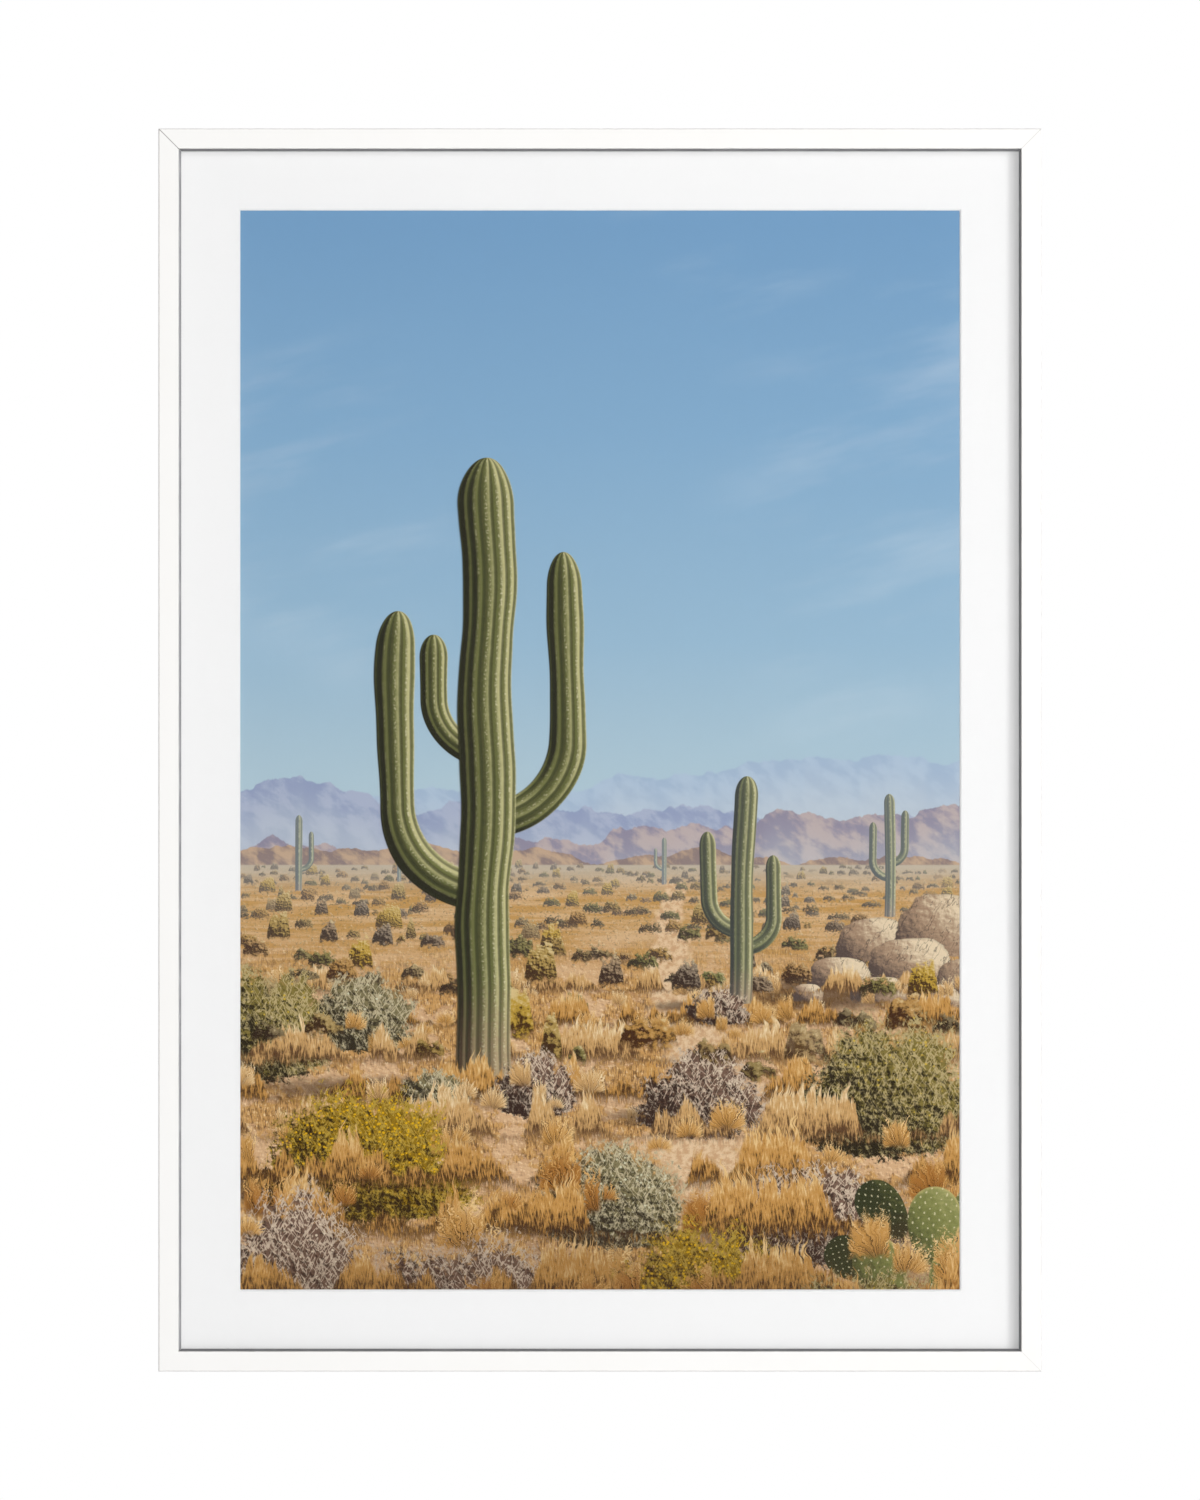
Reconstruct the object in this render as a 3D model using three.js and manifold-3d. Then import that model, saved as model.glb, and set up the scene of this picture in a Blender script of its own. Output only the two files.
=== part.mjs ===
// A framed print for a wall: a slim white wooden frame, a dark bead along its sight edge, clear glazing,
// a bevelled mat, the print on its mounting board, and a hardboard back held by steel tabs.
// Millimetres, +Z up. The front faces -Y, and the wall is the plane y = 0. The origin is in the middle of
// the top rail's back face, where the frame lies against the wall.

import * as THREE from "three";
import { mergeVertices } from "three/addons/utils/BufferGeometryUtils.js";
import Module from "manifold-3d";

const wasm = await Module();
wasm.setup();

// What shows of the picture, and what lies round it, seen from the front
const PICTURE_WIDTH = 609.6;
const PICTURE_HEIGHT = 914.4;
const MAT_SHOWS = 50;
const BEAD_WIDTH = 2;
const RAIL_FACE = 17;

// The moulding: how deep it is, how deep its lip is, and how much of its width is lip alone
const FRAME_DEPTH = 30;
const LIP_DEPTH = 8;
const LIP_WIDTH = 6;
const OUTER_ROUND = 0.9;
const SIGHT_ROUND = 0.6;
const BACK_CHAMFER = 0.5;
const ROUND_STEPS = 5;

// Sheets in the rebate, from the front to the back
const GLAZING_THICKNESS = 2;
const MAT_THICKNESS = 1.4;
const PRINT_THICKNESS = 0.3;
const MOUNT_BOARD_THICKNESS = 5;
const BACK_BOARD_THICKNESS = 3;
const PRINT_UNDER_MAT = 12;
const SHEET_PLAY = 1;

// Gap between pieces that touch on the real frame
const SEAT = 0.3;

// The bead lies against the lip, in front of the glazing
const BEAD_DEPTH = 3;
const BEAD_ROUND = 0.5;

// Steel tabs that hold the back board, with their number along a short and a long rail
const TAB_WIDTH = 9;
const TAB_REACH = 13;
const TAB_THICKNESS = 0.6;
const TAB_RIB_WIDTH = 3;
const TAB_RIB_HEIGHT = 0.5;
const TABS_SHORT = 4;
const TABS_LONG = 6;

// Toothed steel hangers on the back board. A nail's head goes in behind each raised bridge.
const HANGER_LENGTH = 64;
const HANGER_WIDTH = 14;
const HANGER_STEEL = 1;
const HANGER_FOOT = 12;
const BRIDGE_RAISE = 4.4;
const BRIDGE_SLOPE = 2.6;
const TOOTH_PITCH = 4;
const TOOTH_DEPTH = 2.2;
const TEETH = 8;
const HANGER_DROP = 48;
const HANGERS_APART = 380;

// Rivets through the hangers' feet and the back board
const RIVET_RADIUS = 1.6;
const RIVET_HEAD_RADIUS = 3.2;
const RIVET_HEAD_HEIGHT = 1.3;
const RIVET_SIDES = 20;

// Sizes that follow from those above
const SIGHT_WIDTH = PICTURE_WIDTH + 2 * (MAT_SHOWS + BEAD_WIDTH);
const SIGHT_HEIGHT = PICTURE_HEIGHT + 2 * (MAT_SHOWS + BEAD_WIDTH);
const OUTER_WIDTH = SIGHT_WIDTH + 2 * RAIL_FACE;
const OUTER_HEIGHT = SIGHT_HEIGHT + 2 * RAIL_FACE;
const STEM = RAIL_FACE - LIP_WIDTH;
const SHEET_WIDTH = SIGHT_WIDTH + 2 * (LIP_WIDTH - SHEET_PLAY);
const SHEET_HEIGHT = SIGHT_HEIGHT + 2 * (LIP_WIDTH - SHEET_PLAY);
const CENTRE_Z = STEM / 2 - OUTER_HEIGHT / 2;
const RIVET_HOLE = RIVET_RADIUS + SEAT;
const RIVET_FROM_MIDDLE = (HANGER_LENGTH - HANGER_FOOT) / 2;

// Depths behind the front face at which each layer starts
const GLAZING_AT = LIP_DEPTH + SEAT;
const MAT_AT = GLAZING_AT + GLAZING_THICKNESS + SEAT;
const PRINT_AT = MAT_AT + MAT_THICKNESS + SEAT;
const MOUNT_BOARD_AT = PRINT_AT + PRINT_THICKNESS + SEAT;
const BACK_BOARD_AT = MOUNT_BOARD_AT + MOUNT_BOARD_THICKNESS + SEAT;
const FITTINGS_AT = BACK_BOARD_AT + BACK_BOARD_THICKNESS + SEAT;

const LACQUER = new THREE.MeshStandardMaterial({ color: 0xfbfaf8, roughness: 0.4 });
const BEAD_PLASTIC = new THREE.MeshStandardMaterial({ color: 0x6b6b6a, roughness: 0.6 });
const MAT_PAPER = new THREE.MeshStandardMaterial({ color: 0xf6f6f6, roughness: 0.9 });
const PRINT_PAPER = new THREE.MeshStandardMaterial({ color: 0x8fb0ca, roughness: 0.5 });
const FOAM_BOARD = new THREE.MeshStandardMaterial({ color: 0xf2f1ee, roughness: 0.8 });
const HARDBOARD = new THREE.MeshStandardMaterial({ color: 0x8a6748, roughness: 0.75 });
const STEEL = new THREE.MeshStandardMaterial({ color: 0xb9bcc0, roughness: 0.35, metalness: 1 });
const ACRYLIC = new THREE.MeshStandardMaterial({
  color: 0xf4f8fa,
  roughness: 0.05,
  transparent: true,
  opacity: 0.1,
});

const framedPrint = new THREE.Group();

function add(name, geometry, material, place, turn = 0) {
  const mesh = new THREE.Mesh(geometry, material);
  mesh.name = name;
  mesh.position.copy(place);
  mesh.rotation.y = turn;
  framedPrint.add(mesh);
}

function extrude(shape, depth) {
  return new THREE.ExtrudeGeometry(shape, {
    depth,
    bevelEnabled: false,
    curveSegments: RIVET_SIDES,
  });
}

// A shape drawn in the plane of the frame, with its y upwards, made into a plate from y = 0 backwards
function plate(shape, thickness) {
  return extrude(shape, thickness).rotateX(Math.PI / 2).translate(0, thickness, 0);
}

function rectangle(Kind, width, height) {
  const outline = new Kind();
  outline.moveTo(-width / 2, -height / 2);
  outline.lineTo(width / 2, -height / 2);
  outline.lineTo(width / 2, height / 2);
  outline.lineTo(-width / 2, height / 2);
  outline.closePath();
  return outline;
}

function solidOf(geometry) {
  const bare = geometry.clone();
  bare.deleteAttribute("normal");
  bare.deleteAttribute("uv");
  const merged = mergeVertices(bare, 1e-4);
  return new wasm.Manifold(
    new wasm.Mesh({
      numProp: 3,
      vertProperties: merged.getAttribute("position").array,
      triVerts: new Uint32Array(merged.index.array),
    }),
  );
}

function geometryOf(solid) {
  const { vertProperties, triVerts } = solid.getMesh();
  const geometry = new THREE.BufferGeometry();
  geometry.setAttribute("position", new THREE.BufferAttribute(vertProperties, 3));
  geometry.setIndex(new THREE.BufferAttribute(triVerts, 1));
  return geometry;
}

// The four sides: name, length of the outer edge, distance of that edge from the middle, turn, and tabs
const SIDES = [
  { side: "top", length: OUTER_WIDTH, offset: OUTER_HEIGHT / 2, turn: 0, tabs: TABS_SHORT },
  { side: "right", length: OUTER_HEIGHT, offset: OUTER_WIDTH / 2, turn: Math.PI / 2, tabs: TABS_LONG },
  { side: "bottom", length: OUTER_WIDTH, offset: OUTER_HEIGHT / 2, turn: Math.PI, tabs: TABS_SHORT },
  { side: "left", length: OUTER_HEIGHT, offset: OUTER_WIDTH / 2, turn: -Math.PI / 2, tabs: TABS_LONG },
];

// The place on a side that lies a given way along it, in from its outer edge, and at a given y
function onSide({ offset, turn }, along, inwards, y) {
  const place = new THREE.Vector3(along, y, offset - inwards);
  place.applyAxisAngle(new THREE.Vector3(0, 1, 0), turn);
  return place.add(new THREE.Vector3(0, 0, CENTRE_Z));
}

// A quarter round in an outline, from one angle to a right angle further
function quarter(outline, x, y, radius, from) {
  for (let step = 0; step <= ROUND_STEPS; step++) {
    const angle = from + (step / ROUND_STEPS) * (Math.PI / 2);
    outline.push(new THREE.Vector2(x + radius * Math.cos(angle), y + radius * Math.sin(angle)));
  }
}

// The moulding's section. x runs in from the outer face, and y back from the front face.
function mouldingSection() {
  const outline = [];
  quarter(outline, OUTER_ROUND, OUTER_ROUND, OUTER_ROUND, Math.PI);
  quarter(outline, RAIL_FACE - SIGHT_ROUND, SIGHT_ROUND, SIGHT_ROUND, 1.5 * Math.PI);
  outline.push(
    new THREE.Vector2(RAIL_FACE, LIP_DEPTH),
    new THREE.Vector2(STEM, LIP_DEPTH),
    new THREE.Vector2(STEM, FRAME_DEPTH),
    new THREE.Vector2(BACK_CHAMFER, FRAME_DEPTH),
    new THREE.Vector2(0, FRAME_DEPTH - BACK_CHAMFER),
  );
  return new THREE.Shape(outline);
}

// The bead's section, with its rounded corner towards the mat
function beadSection() {
  const from = RAIL_FACE + SEAT;
  const to = RAIL_FACE + BEAD_WIDTH;
  const front = LIP_DEPTH - BEAD_DEPTH;
  const outline = [new THREE.Vector2(from, front)];
  quarter(outline, to - BEAD_ROUND, front + BEAD_ROUND, BEAD_ROUND, 1.5 * Math.PI);
  outline.push(new THREE.Vector2(to, LIP_DEPTH), new THREE.Vector2(from, LIP_DEPTH));
  return new THREE.Shape(outline);
}

// A strip of a section along one side of the frame, mitred at both ends. It lies along X, with the
// frame's outer edge at z = 0 and the frame's front face at y = -FRAME_DEPTH.
function mitredStrip(section, outerLength) {
  const strip = extrude(section, 1);
  const at = strip.getAttribute("position");
  for (let i = 0; i < at.count; i++) {
    const inwards = at.getX(i);
    const halfLength = outerLength / 2 - inwards - SEAT / Math.SQRT2;
    const end = at.getZ(i) > 0.5 ? 1 : -1;
    at.setXYZ(i, end * halfLength, at.getY(i) - FRAME_DEPTH, -inwards);
  }
  return strip;
}

function addStrips(name, section, material) {
  for (const side of SIDES) {
    const strip = mitredStrip(section, side.length);
    add(`${name}_${side.side}`, strip, material, onSide(side, 0, 0, 0), side.turn);
  }
}

// A sheet in the rebate, centred on the frame, at a depth behind the front face
function addSheet(name, geometry, depth, material) {
  add(name, geometry, material, new THREE.Vector3(0, depth - FRAME_DEPTH, CENTRE_Z));
}

// The mat with its window. The window's sides slope at 45 degrees, and it is widest at the front.
function matGeometry() {
  const outline = rectangle(THREE.Shape, SHEET_WIDTH, SHEET_HEIGHT);
  outline.holes.push(rectangle(THREE.Path, PICTURE_WIDTH, PICTURE_HEIGHT));
  const mat = plate(outline, MAT_THICKNESS);
  const at = mat.getAttribute("position");
  for (let i = 0; i < at.count; i++) {
    const [x, y, z] = [at.getX(i), at.getY(i), at.getZ(i)];
    if (Math.abs(x) < SIGHT_WIDTH / 2 && y < MAT_THICKNESS / 2) {
      at.setXYZ(i, x + Math.sign(x) * MAT_THICKNESS, y, z + Math.sign(z) * MAT_THICKNESS);
    }
  }
  return mat;
}

// The places of the rivets on the back board, seen from its middle
function rivetPlaces() {
  const places = [];
  for (const [hanger, across] of [["left", -1], ["right", 1]]) {
    for (const [end, out] of [["a", -1], ["b", 1]]) {
      const x = (across * HANGERS_APART) / 2 + out * RIVET_FROM_MIDDLE;
      places.push({ name: `rivet_${hanger}_${end}`, x, z: OUTER_HEIGHT / 2 - HANGER_DROP });
    }
  }
  return places;
}

function backBoardGeometry() {
  const outline = rectangle(THREE.Shape, SHEET_WIDTH, SHEET_HEIGHT);
  for (const { x, z } of rivetPlaces()) {
    outline.holes.push(new THREE.Path().absarc(x, z, RIVET_HOLE, 0, 2 * Math.PI));
  }
  return plate(outline, BACK_BOARD_THICKNESS);
}

// A tab: a steel tongue with a round tip and a pressed rib, with its tip down and its root at z = 0
function tabGeometry() {
  const tip = TAB_WIDTH / 2;
  const outline = new THREE.Shape();
  outline.moveTo(tip, 0);
  outline.lineTo(-tip, 0);
  outline.lineTo(-tip, tip - TAB_REACH);
  outline.absarc(0, tip - TAB_REACH, tip, Math.PI, 2 * Math.PI);
  outline.closePath();
  const tongue = plate(outline, TAB_THICKNESS);
  const ribLength = TAB_REACH - tip;
  const rib = new THREE.BoxGeometry(TAB_RIB_WIDTH, TAB_THICKNESS + TAB_RIB_HEIGHT, ribLength);
  rib.translate(0, (TAB_THICKNESS + TAB_RIB_HEIGHT) / 2, -ribLength / 2 - 1);
  return geometryOf(solidOf(tongue).add(solidOf(rib)));
}

function addTabs() {
  for (const side of SIDES) {
    const spacing = (side.length - 2 * STEM) / side.tabs;
    for (let i = 0; i < side.tabs; i++) {
      const along = (i - (side.tabs - 1) / 2) * spacing;
      const place = onSide(side, along, STEM + SEAT, FITTINGS_AT - FRAME_DEPTH);
      add(`tab_${side.side}_${i + 1}`, tabGeometry(), STEEL, place, side.turn);
    }
  }
}

// The hanger's long section, from one foot over the raised bridge to the other. x runs along the hanger,
// and y away from the board.
function hangerSection() {
  const end = HANGER_LENGTH / 2;
  const foot = end - HANGER_FOOT;
  const bridge = foot - BRIDGE_SLOPE;
  const under = [
    [-end, 0],
    [-foot, 0],
    [-bridge, BRIDGE_RAISE],
    [bridge, BRIDGE_RAISE],
    [foot, 0],
    [end, 0],
  ];
  const lower = under.map(([x, y]) => new THREE.Vector2(x, y));
  const upper = under.map(([x, y]) => new THREE.Vector2(x, y + HANGER_STEEL)).reverse();
  return new THREE.Shape([...lower, ...upper]);
}

// What is cut out between the teeth on the bridge's lower edge
function toothGaps() {
  const span = TEETH * TOOTH_PITCH;
  const edge = -HANGER_WIDTH / 2;
  const outline = [new THREE.Vector2(-span / 2, edge - 1)];
  for (let i = 0; i < TEETH; i++) {
    const from = -span / 2 + i * TOOTH_PITCH;
    outline.push(new THREE.Vector2(from, edge));
    outline.push(new THREE.Vector2(from + TOOTH_PITCH / 2, edge + TOOTH_DEPTH));
  }
  outline.push(new THREE.Vector2(span / 2, edge), new THREE.Vector2(span / 2, edge - 1));
  return plate(new THREE.Shape(outline), BRIDGE_RAISE + 2 * HANGER_STEEL);
}

function hangerGeometry() {
  const strip = extrude(hangerSection(), HANGER_WIDTH).translate(0, 0, -HANGER_WIDTH / 2);
  const hole = new THREE.CylinderGeometry(RIVET_HOLE, RIVET_HOLE, 4 * HANGER_STEEL, RIVET_SIDES);
  return geometryOf(
    solidOf(strip)
      .subtract(solidOf(toothGaps()))
      .subtract(solidOf(hole.clone().translate(-RIVET_FROM_MIDDLE, 0, 0)))
      .subtract(solidOf(hole.clone().translate(RIVET_FROM_MIDDLE, 0, 0))),
  );
}

function addHangers() {
  for (const [name, across] of [["left", -1], ["right", 1]]) {
    const along = (across * HANGERS_APART) / 2;
    const place = onSide(SIDES[0], along, HANGER_DROP, FITTINGS_AT - FRAME_DEPTH);
    add(`hanger_${name}`, hangerGeometry(), STEEL, place);
  }
}

// A rivet with a low domed head, whose underside is at y = 0. Its shank ends just inside the board.
function rivetGeometry() {
  const shank = HANGER_STEEL + SEAT + BACK_BOARD_THICKNESS;
  const profile = [
    new THREE.Vector2(0, -shank),
    new THREE.Vector2(RIVET_RADIUS, -shank),
    new THREE.Vector2(RIVET_RADIUS, 0),
  ];
  for (let step = 0; step < ROUND_STEPS; step++) {
    const angle = (step / ROUND_STEPS) * (Math.PI / 2);
    const radius = RIVET_HEAD_RADIUS * Math.cos(angle);
    profile.push(new THREE.Vector2(radius, RIVET_HEAD_HEIGHT * Math.sin(angle)));
  }
  profile.push(new THREE.Vector2(0, RIVET_HEAD_HEIGHT));
  return new THREE.LatheGeometry(profile, RIVET_SIDES);
}

function addRivets() {
  const y = FITTINGS_AT + HANGER_STEEL + SEAT - FRAME_DEPTH;
  for (const { name, x, z } of rivetPlaces()) {
    add(name, rivetGeometry(), STEEL, new THREE.Vector3(x, y, z + CENTRE_Z));
  }
}

const sheet = rectangle(THREE.Shape, SHEET_WIDTH, SHEET_HEIGHT);
const printSheet = rectangle(
  THREE.Shape,
  PICTURE_WIDTH + 2 * PRINT_UNDER_MAT,
  PICTURE_HEIGHT + 2 * PRINT_UNDER_MAT,
);

addStrips("rail", mouldingSection(), LACQUER);
addStrips("bead", beadSection(), BEAD_PLASTIC);
addSheet("glazing", plate(sheet, GLAZING_THICKNESS), GLAZING_AT, ACRYLIC);
addSheet("mat", matGeometry(), MAT_AT, MAT_PAPER);
addSheet("print", plate(printSheet, PRINT_THICKNESS), PRINT_AT, PRINT_PAPER);
addSheet("mount_board", plate(sheet, MOUNT_BOARD_THICKNESS), MOUNT_BOARD_AT, FOAM_BOARD);
addSheet("back_board", backBoardGeometry(), BACK_BOARD_AT, HARDBOARD);
addTabs();
addHangers();
addRivets();

export default framedPrint;
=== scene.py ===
# %% [markdown]
# # A framed desert print
#
# The object is a tall print in a slim white frame, ready to hang: four mitred rails, a dark bead along
# the sight edge, clear glazing, a bevelled mat, the print, a mounting board, and a hardboard back with
# its fittings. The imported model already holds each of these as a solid, at its real size and in its
# place. This lesson gives them their surfaces, paints the picture, drives the corner nails, and sets up
# a small studio with a camera straight in front.
#
# Everything is in metres. The picture faces -Y, +Z is up, and the wall would be the plane y = 0.

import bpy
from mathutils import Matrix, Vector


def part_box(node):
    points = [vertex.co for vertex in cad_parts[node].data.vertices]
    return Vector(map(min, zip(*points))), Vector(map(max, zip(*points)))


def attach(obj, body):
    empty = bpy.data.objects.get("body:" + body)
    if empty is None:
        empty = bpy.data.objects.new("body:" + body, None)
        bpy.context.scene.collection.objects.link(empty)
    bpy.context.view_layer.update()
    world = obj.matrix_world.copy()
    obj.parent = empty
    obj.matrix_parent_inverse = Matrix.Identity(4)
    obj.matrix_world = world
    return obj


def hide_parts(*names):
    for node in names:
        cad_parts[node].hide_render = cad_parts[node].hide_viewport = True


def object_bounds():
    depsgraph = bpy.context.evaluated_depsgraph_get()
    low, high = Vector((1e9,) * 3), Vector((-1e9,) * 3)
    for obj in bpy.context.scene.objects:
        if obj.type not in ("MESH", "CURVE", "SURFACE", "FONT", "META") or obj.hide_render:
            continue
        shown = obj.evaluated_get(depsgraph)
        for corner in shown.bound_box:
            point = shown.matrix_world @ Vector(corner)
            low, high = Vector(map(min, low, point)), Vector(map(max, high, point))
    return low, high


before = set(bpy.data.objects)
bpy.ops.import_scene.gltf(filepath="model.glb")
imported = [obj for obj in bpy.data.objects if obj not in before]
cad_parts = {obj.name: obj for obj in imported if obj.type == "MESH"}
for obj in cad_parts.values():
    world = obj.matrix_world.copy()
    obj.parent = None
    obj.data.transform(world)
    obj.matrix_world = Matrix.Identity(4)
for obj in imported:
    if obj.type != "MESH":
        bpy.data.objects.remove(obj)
cad_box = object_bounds()
print("nodes:", len(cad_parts), "box:", [list(corner) for corner in cad_box])

# %% [markdown]
# ## Sizes from the model
#
# A finish often has to know where it is: paint ends at the back edge of a rail, and the mat's bevel lies
# round its window. Those places are read from the boxes of the solids, so they can't drift away from
# them. The origin is in the middle of the top rail's back face, so that face is twice as wide as the
# frame's top edge is high.

# %% Read the sizes
import math
import random

import bmesh
import bpy
from mathutils import Vector

MM = 0.001
CM = 0.01

LEFT, FRONT, BOTTOM = cad_box[0]
RIGHT, BACK, TOP = cad_box[1]
CENTRE = (cad_box[0] + cad_box[1]) / 2
STEM = 2 * TOP
CORNERS = [  # each with its way inwards
    (x, z, to_x, to_z) for x, to_x in ((LEFT, 1), (RIGHT, -1)) for z, to_z in ((BOTTOM, 1), (TOP, -1))
]
RAIL_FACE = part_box("rail_left")[1].x - LEFT
SEAT = 0.3 * MM  # how far solids that touch on the real frame stand apart
LIP_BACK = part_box("glazing")[0].y - SEAT
MAT_LOW, MAT_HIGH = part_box("mat")
MAT_THICKNESS = MAT_HIGH.y - MAT_LOW.y
PRINT_UNDER_MAT = 12 * MM  # how far the sheet goes on behind the mat on each side
PRINT_LOW, PRINT_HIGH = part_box("print")
PICTURE_WIDTH = PRINT_HIGH.x - PRINT_LOW.x - 2 * PRINT_UNDER_MAT
PICTURE_HEIGHT = PRINT_HIGH.z - PRINT_LOW.z - 2 * PRINT_UNDER_MAT
print(f"frame {(RIGHT - LEFT) / MM:.1f} by {(TOP - BOTTOM) / MM:.1f} mm, rails {RAIL_FACE / MM:.1f} mm")
print(f"picture {PICTURE_WIDTH / MM:.1f} by {PICTURE_HEIGHT / MM:.1f} mm")

# %% [markdown]
# ## Shader maths as Python
#
# A procedural material is a sum: noise here, a mask there, one colour laid over another. Drawn as nodes
# such sums soon look like a plate of noodles. So `Value` wraps one socket and gives it Python's
# operators, and `Graph` has a single method that adds a node. `1 - mask` then adds the Math node that it
# stands for, and two plain numbers are still worked out by Python. `Finish` is a graph that ends in a
# material.

# %% One wrapped socket
class Value:
    """What a node gives out: a number, a colour, a vector or a shader."""

    def __init__(self, graph, socket):
        self.graph = graph
        self.socket = socket

    def out(self, name):
        return Value(self.graph, self.socket.node.outputs[name])

    def __add__(self, other):
        return self.graph.maths("ADD", self, other)

    def __radd__(self, other):
        return self.graph.maths("ADD", other, self)

    def __sub__(self, other):
        return self.graph.maths("SUBTRACT", self, other)

    def __rsub__(self, other):
        return self.graph.maths("SUBTRACT", other, self)

    def __mul__(self, other):
        return self.graph.maths("MULTIPLY", self, other)

    def __rmul__(self, other):
        return self.graph.maths("MULTIPLY", other, self)

    def __truediv__(self, other):
        return self.graph.maths("DIVIDE", self, other)

    def __pow__(self, other):
        return self.graph.maths("POWER", self, other)

    def __neg__(self):
        return self.graph.maths("MULTIPLY", self, -1)

    def __gt__(self, other):
        return self.graph.maths("GREATER_THAN", self, other)

    def __lt__(self, other):
        return self.graph.maths("LESS_THAN", self, other)


# %% [markdown]
# `Graph.node` is the only place where nodes are made. Settings, such as a Math node's operation or a
# ramp's stops, are set first, because they can change which sockets a node has. The methods below it are
# short names for what nearly every surface needs: maths, mixing, noise, a soft step and a bump.

# %% A graph of nodes
class Graph:
    """A tree of shader nodes that is built up node by node."""

    def node(self, kind, settings=None, sockets=None, output=0):
        node = self.tree.nodes.new("ShaderNode" + kind)
        for name, setting in (settings or {}).items():
            if name == "stops":
                self.set_stops(node.color_ramp.elements, setting)
            else:
                setattr(node, name, setting)
        for name, value in (sockets or {}).items():
            if isinstance(value, Value):
                self.tree.links.new(value.socket, node.inputs[name])
            else:
                node.inputs[name].default_value = value
        return Value(self, node.outputs[output]) if node.outputs else None

    def set_stops(self, elements, stops):
        while len(elements) < len(stops):
            elements.new(1.0)
        for element, (place, colour) in zip(elements, stops):
            element.position = place
            element.color = colour

    def maths(self, operation, *values):
        return self.node("Math", {"operation": operation}, dict(enumerate(values)))

    def clamp(self, value):
        return self.node("Clamp", {}, {"Value": value})

    def smallest(self, first, *others):
        for other in others:
            first = self.maths("MINIMUM", first, other)
        return first

    def largest(self, first, *others):
        for other in others:
            first = self.maths("MAXIMUM", first, other)
        return first

    def size(self, value):
        return self.maths("ABSOLUTE", value)

    def length(self, x, y):
        return self.maths("SQRT", x * x + y * y)

    def vector(self, x, y, z):
        return self.node("CombineXYZ", {}, {0: x, 1: y, 2: z})

    def place(self):
        """The three coordinates of a point of the surface, in the model's own metres."""
        split = self.node("SeparateXYZ", {}, {0: self.node("TexCoord", output="Object")})
        return split, split.out("Y"), split.out("Z")

    def rise(self, value, start, end):
        """0 below start and 1 above end, with a soft change between them."""
        sockets = {"Value": value, "From Min": start, "From Max": end}
        return self.node("MapRange", {"interpolation_type": "SMOOTHSTEP", "clamp": False}, sockets)

    def mix(self, under, over, share):
        return self.node("Mix", {"data_type": "RGBA"}, {0: share, 6: under, 7: over}, 2)

    def tint(self, colour, by):
        settings = {"data_type": "RGBA", "blend_type": "MULTIPLY"}
        return self.node("Mix", settings, {0: 1.0, 6: colour, 7: by}, 2)

    def noise(self, at, scale, detail=2.0, roughness=0.5):
        sockets = {"Vector": at, "Scale": scale, "Detail": detail, "Roughness": roughness}
        return self.node("TexNoise", {}, sockets)

    def noise_along(self, distance, scale, detail=2.0, roughness=0.5):
        sockets = {"W": distance, "Scale": scale, "Detail": detail, "Roughness": roughness}
        return self.node("TexNoise", {"noise_dimensions": "1D"}, sockets)

    def cells(self, along, scale):
        """Random cells on a line: the cells, their three random numbers, and how far the next one is."""
        line = {"voronoi_dimensions": "1D"}
        spots = self.node("TexVoronoi", line, {"W": along, "Scale": scale})
        luck = self.node("SeparateColor", {}, {0: spots.out("Color")})
        border = {"feature": "DISTANCE_TO_EDGE", **line}
        apart = self.node("TexVoronoi", border, {"W": along, "Scale": scale})
        return spots, luck, luck.out("Green"), luck.out("Blue"), apart

    def bump(self, height, distance, strength=1.0):
        sockets = {"Height": height, "Distance": distance, "Strength": strength}
        return self.node("Bump", {}, sockets)


# %% [markdown]
# A `Finish` is such a graph for one material. It first clears the nodes that Blender puts there, so it
# holds only what the steps below add, and its last node is the material's output.

# %% One material
class Finish(Graph):
    """A material, from its first node to its output."""

    def __init__(self, name):
        self.material = bpy.data.materials.new(name)
        self.material.use_nodes = True
        self.tree = self.material.node_tree
        self.tree.nodes.clear()

    def surface(self, sockets):
        shader = self.node("BsdfPrincipled", {}, sockets)
        return self.finish(shader)

    def finish(self, shader):
        self.node("OutputMaterial", {}, {"Surface": shader})
        print(f"{self.material.name}: {len(self.tree.nodes)} nodes")
        return self.material


# %% [markdown]
# Colours are written as they look on a screen. The renderer works with light, so each is turned into
# linear values once, in Python.

# %% Colours
def paint(code):
    """A colour such as "#D8BC9A" as linear red, green, blue and alpha."""
    shares = [int(code[i:i + 2], 16) / 255 for i in (1, 3, 5)]
    linear = [s / 12.92 if s <= 0.04045 else ((s + 0.055) / 1.055) ** 2.4 for s in shares]
    return (*linear, 1.0)


def grey(value):
    return (value, value, value, 1.0)


def palette(names, *codes):
    return {name: paint(code) for name, code in zip(names.split(), codes)}


# %% [markdown]
# Most finishes go onto solids that are there already. A few pieces are built as new meshes, and `new_piece`
# brings such a mesh into the scene.

# %% Dressing a solid, and adding a piece
def dress(name, material):
    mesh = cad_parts[name].data
    mesh.materials.clear()
    mesh.materials.append(material)


def soften(name, width):
    """A fine bevel, so that an edge catches light as a real one does."""
    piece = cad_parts[name]
    bevel = piece.modifiers.new("edge", "BEVEL")
    bevel.width = width
    bevel.segments = 2
    bevel.limit_method = "ANGLE"
    bevel.angle_limit = math.radians(40)
    bevel.harden_normals = True


def new_piece(name, mesh, *materials):
    data = bpy.data.meshes.new(name)
    mesh.to_mesh(data)
    mesh.free()
    for material in materials:
        data.materials.append(material)
    piece = bpy.data.objects.new(name, data)
    bpy.context.scene.collection.objects.link(piece)
    print(f"{name}: {len(data.polygons)} faces")
    return piece


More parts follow.
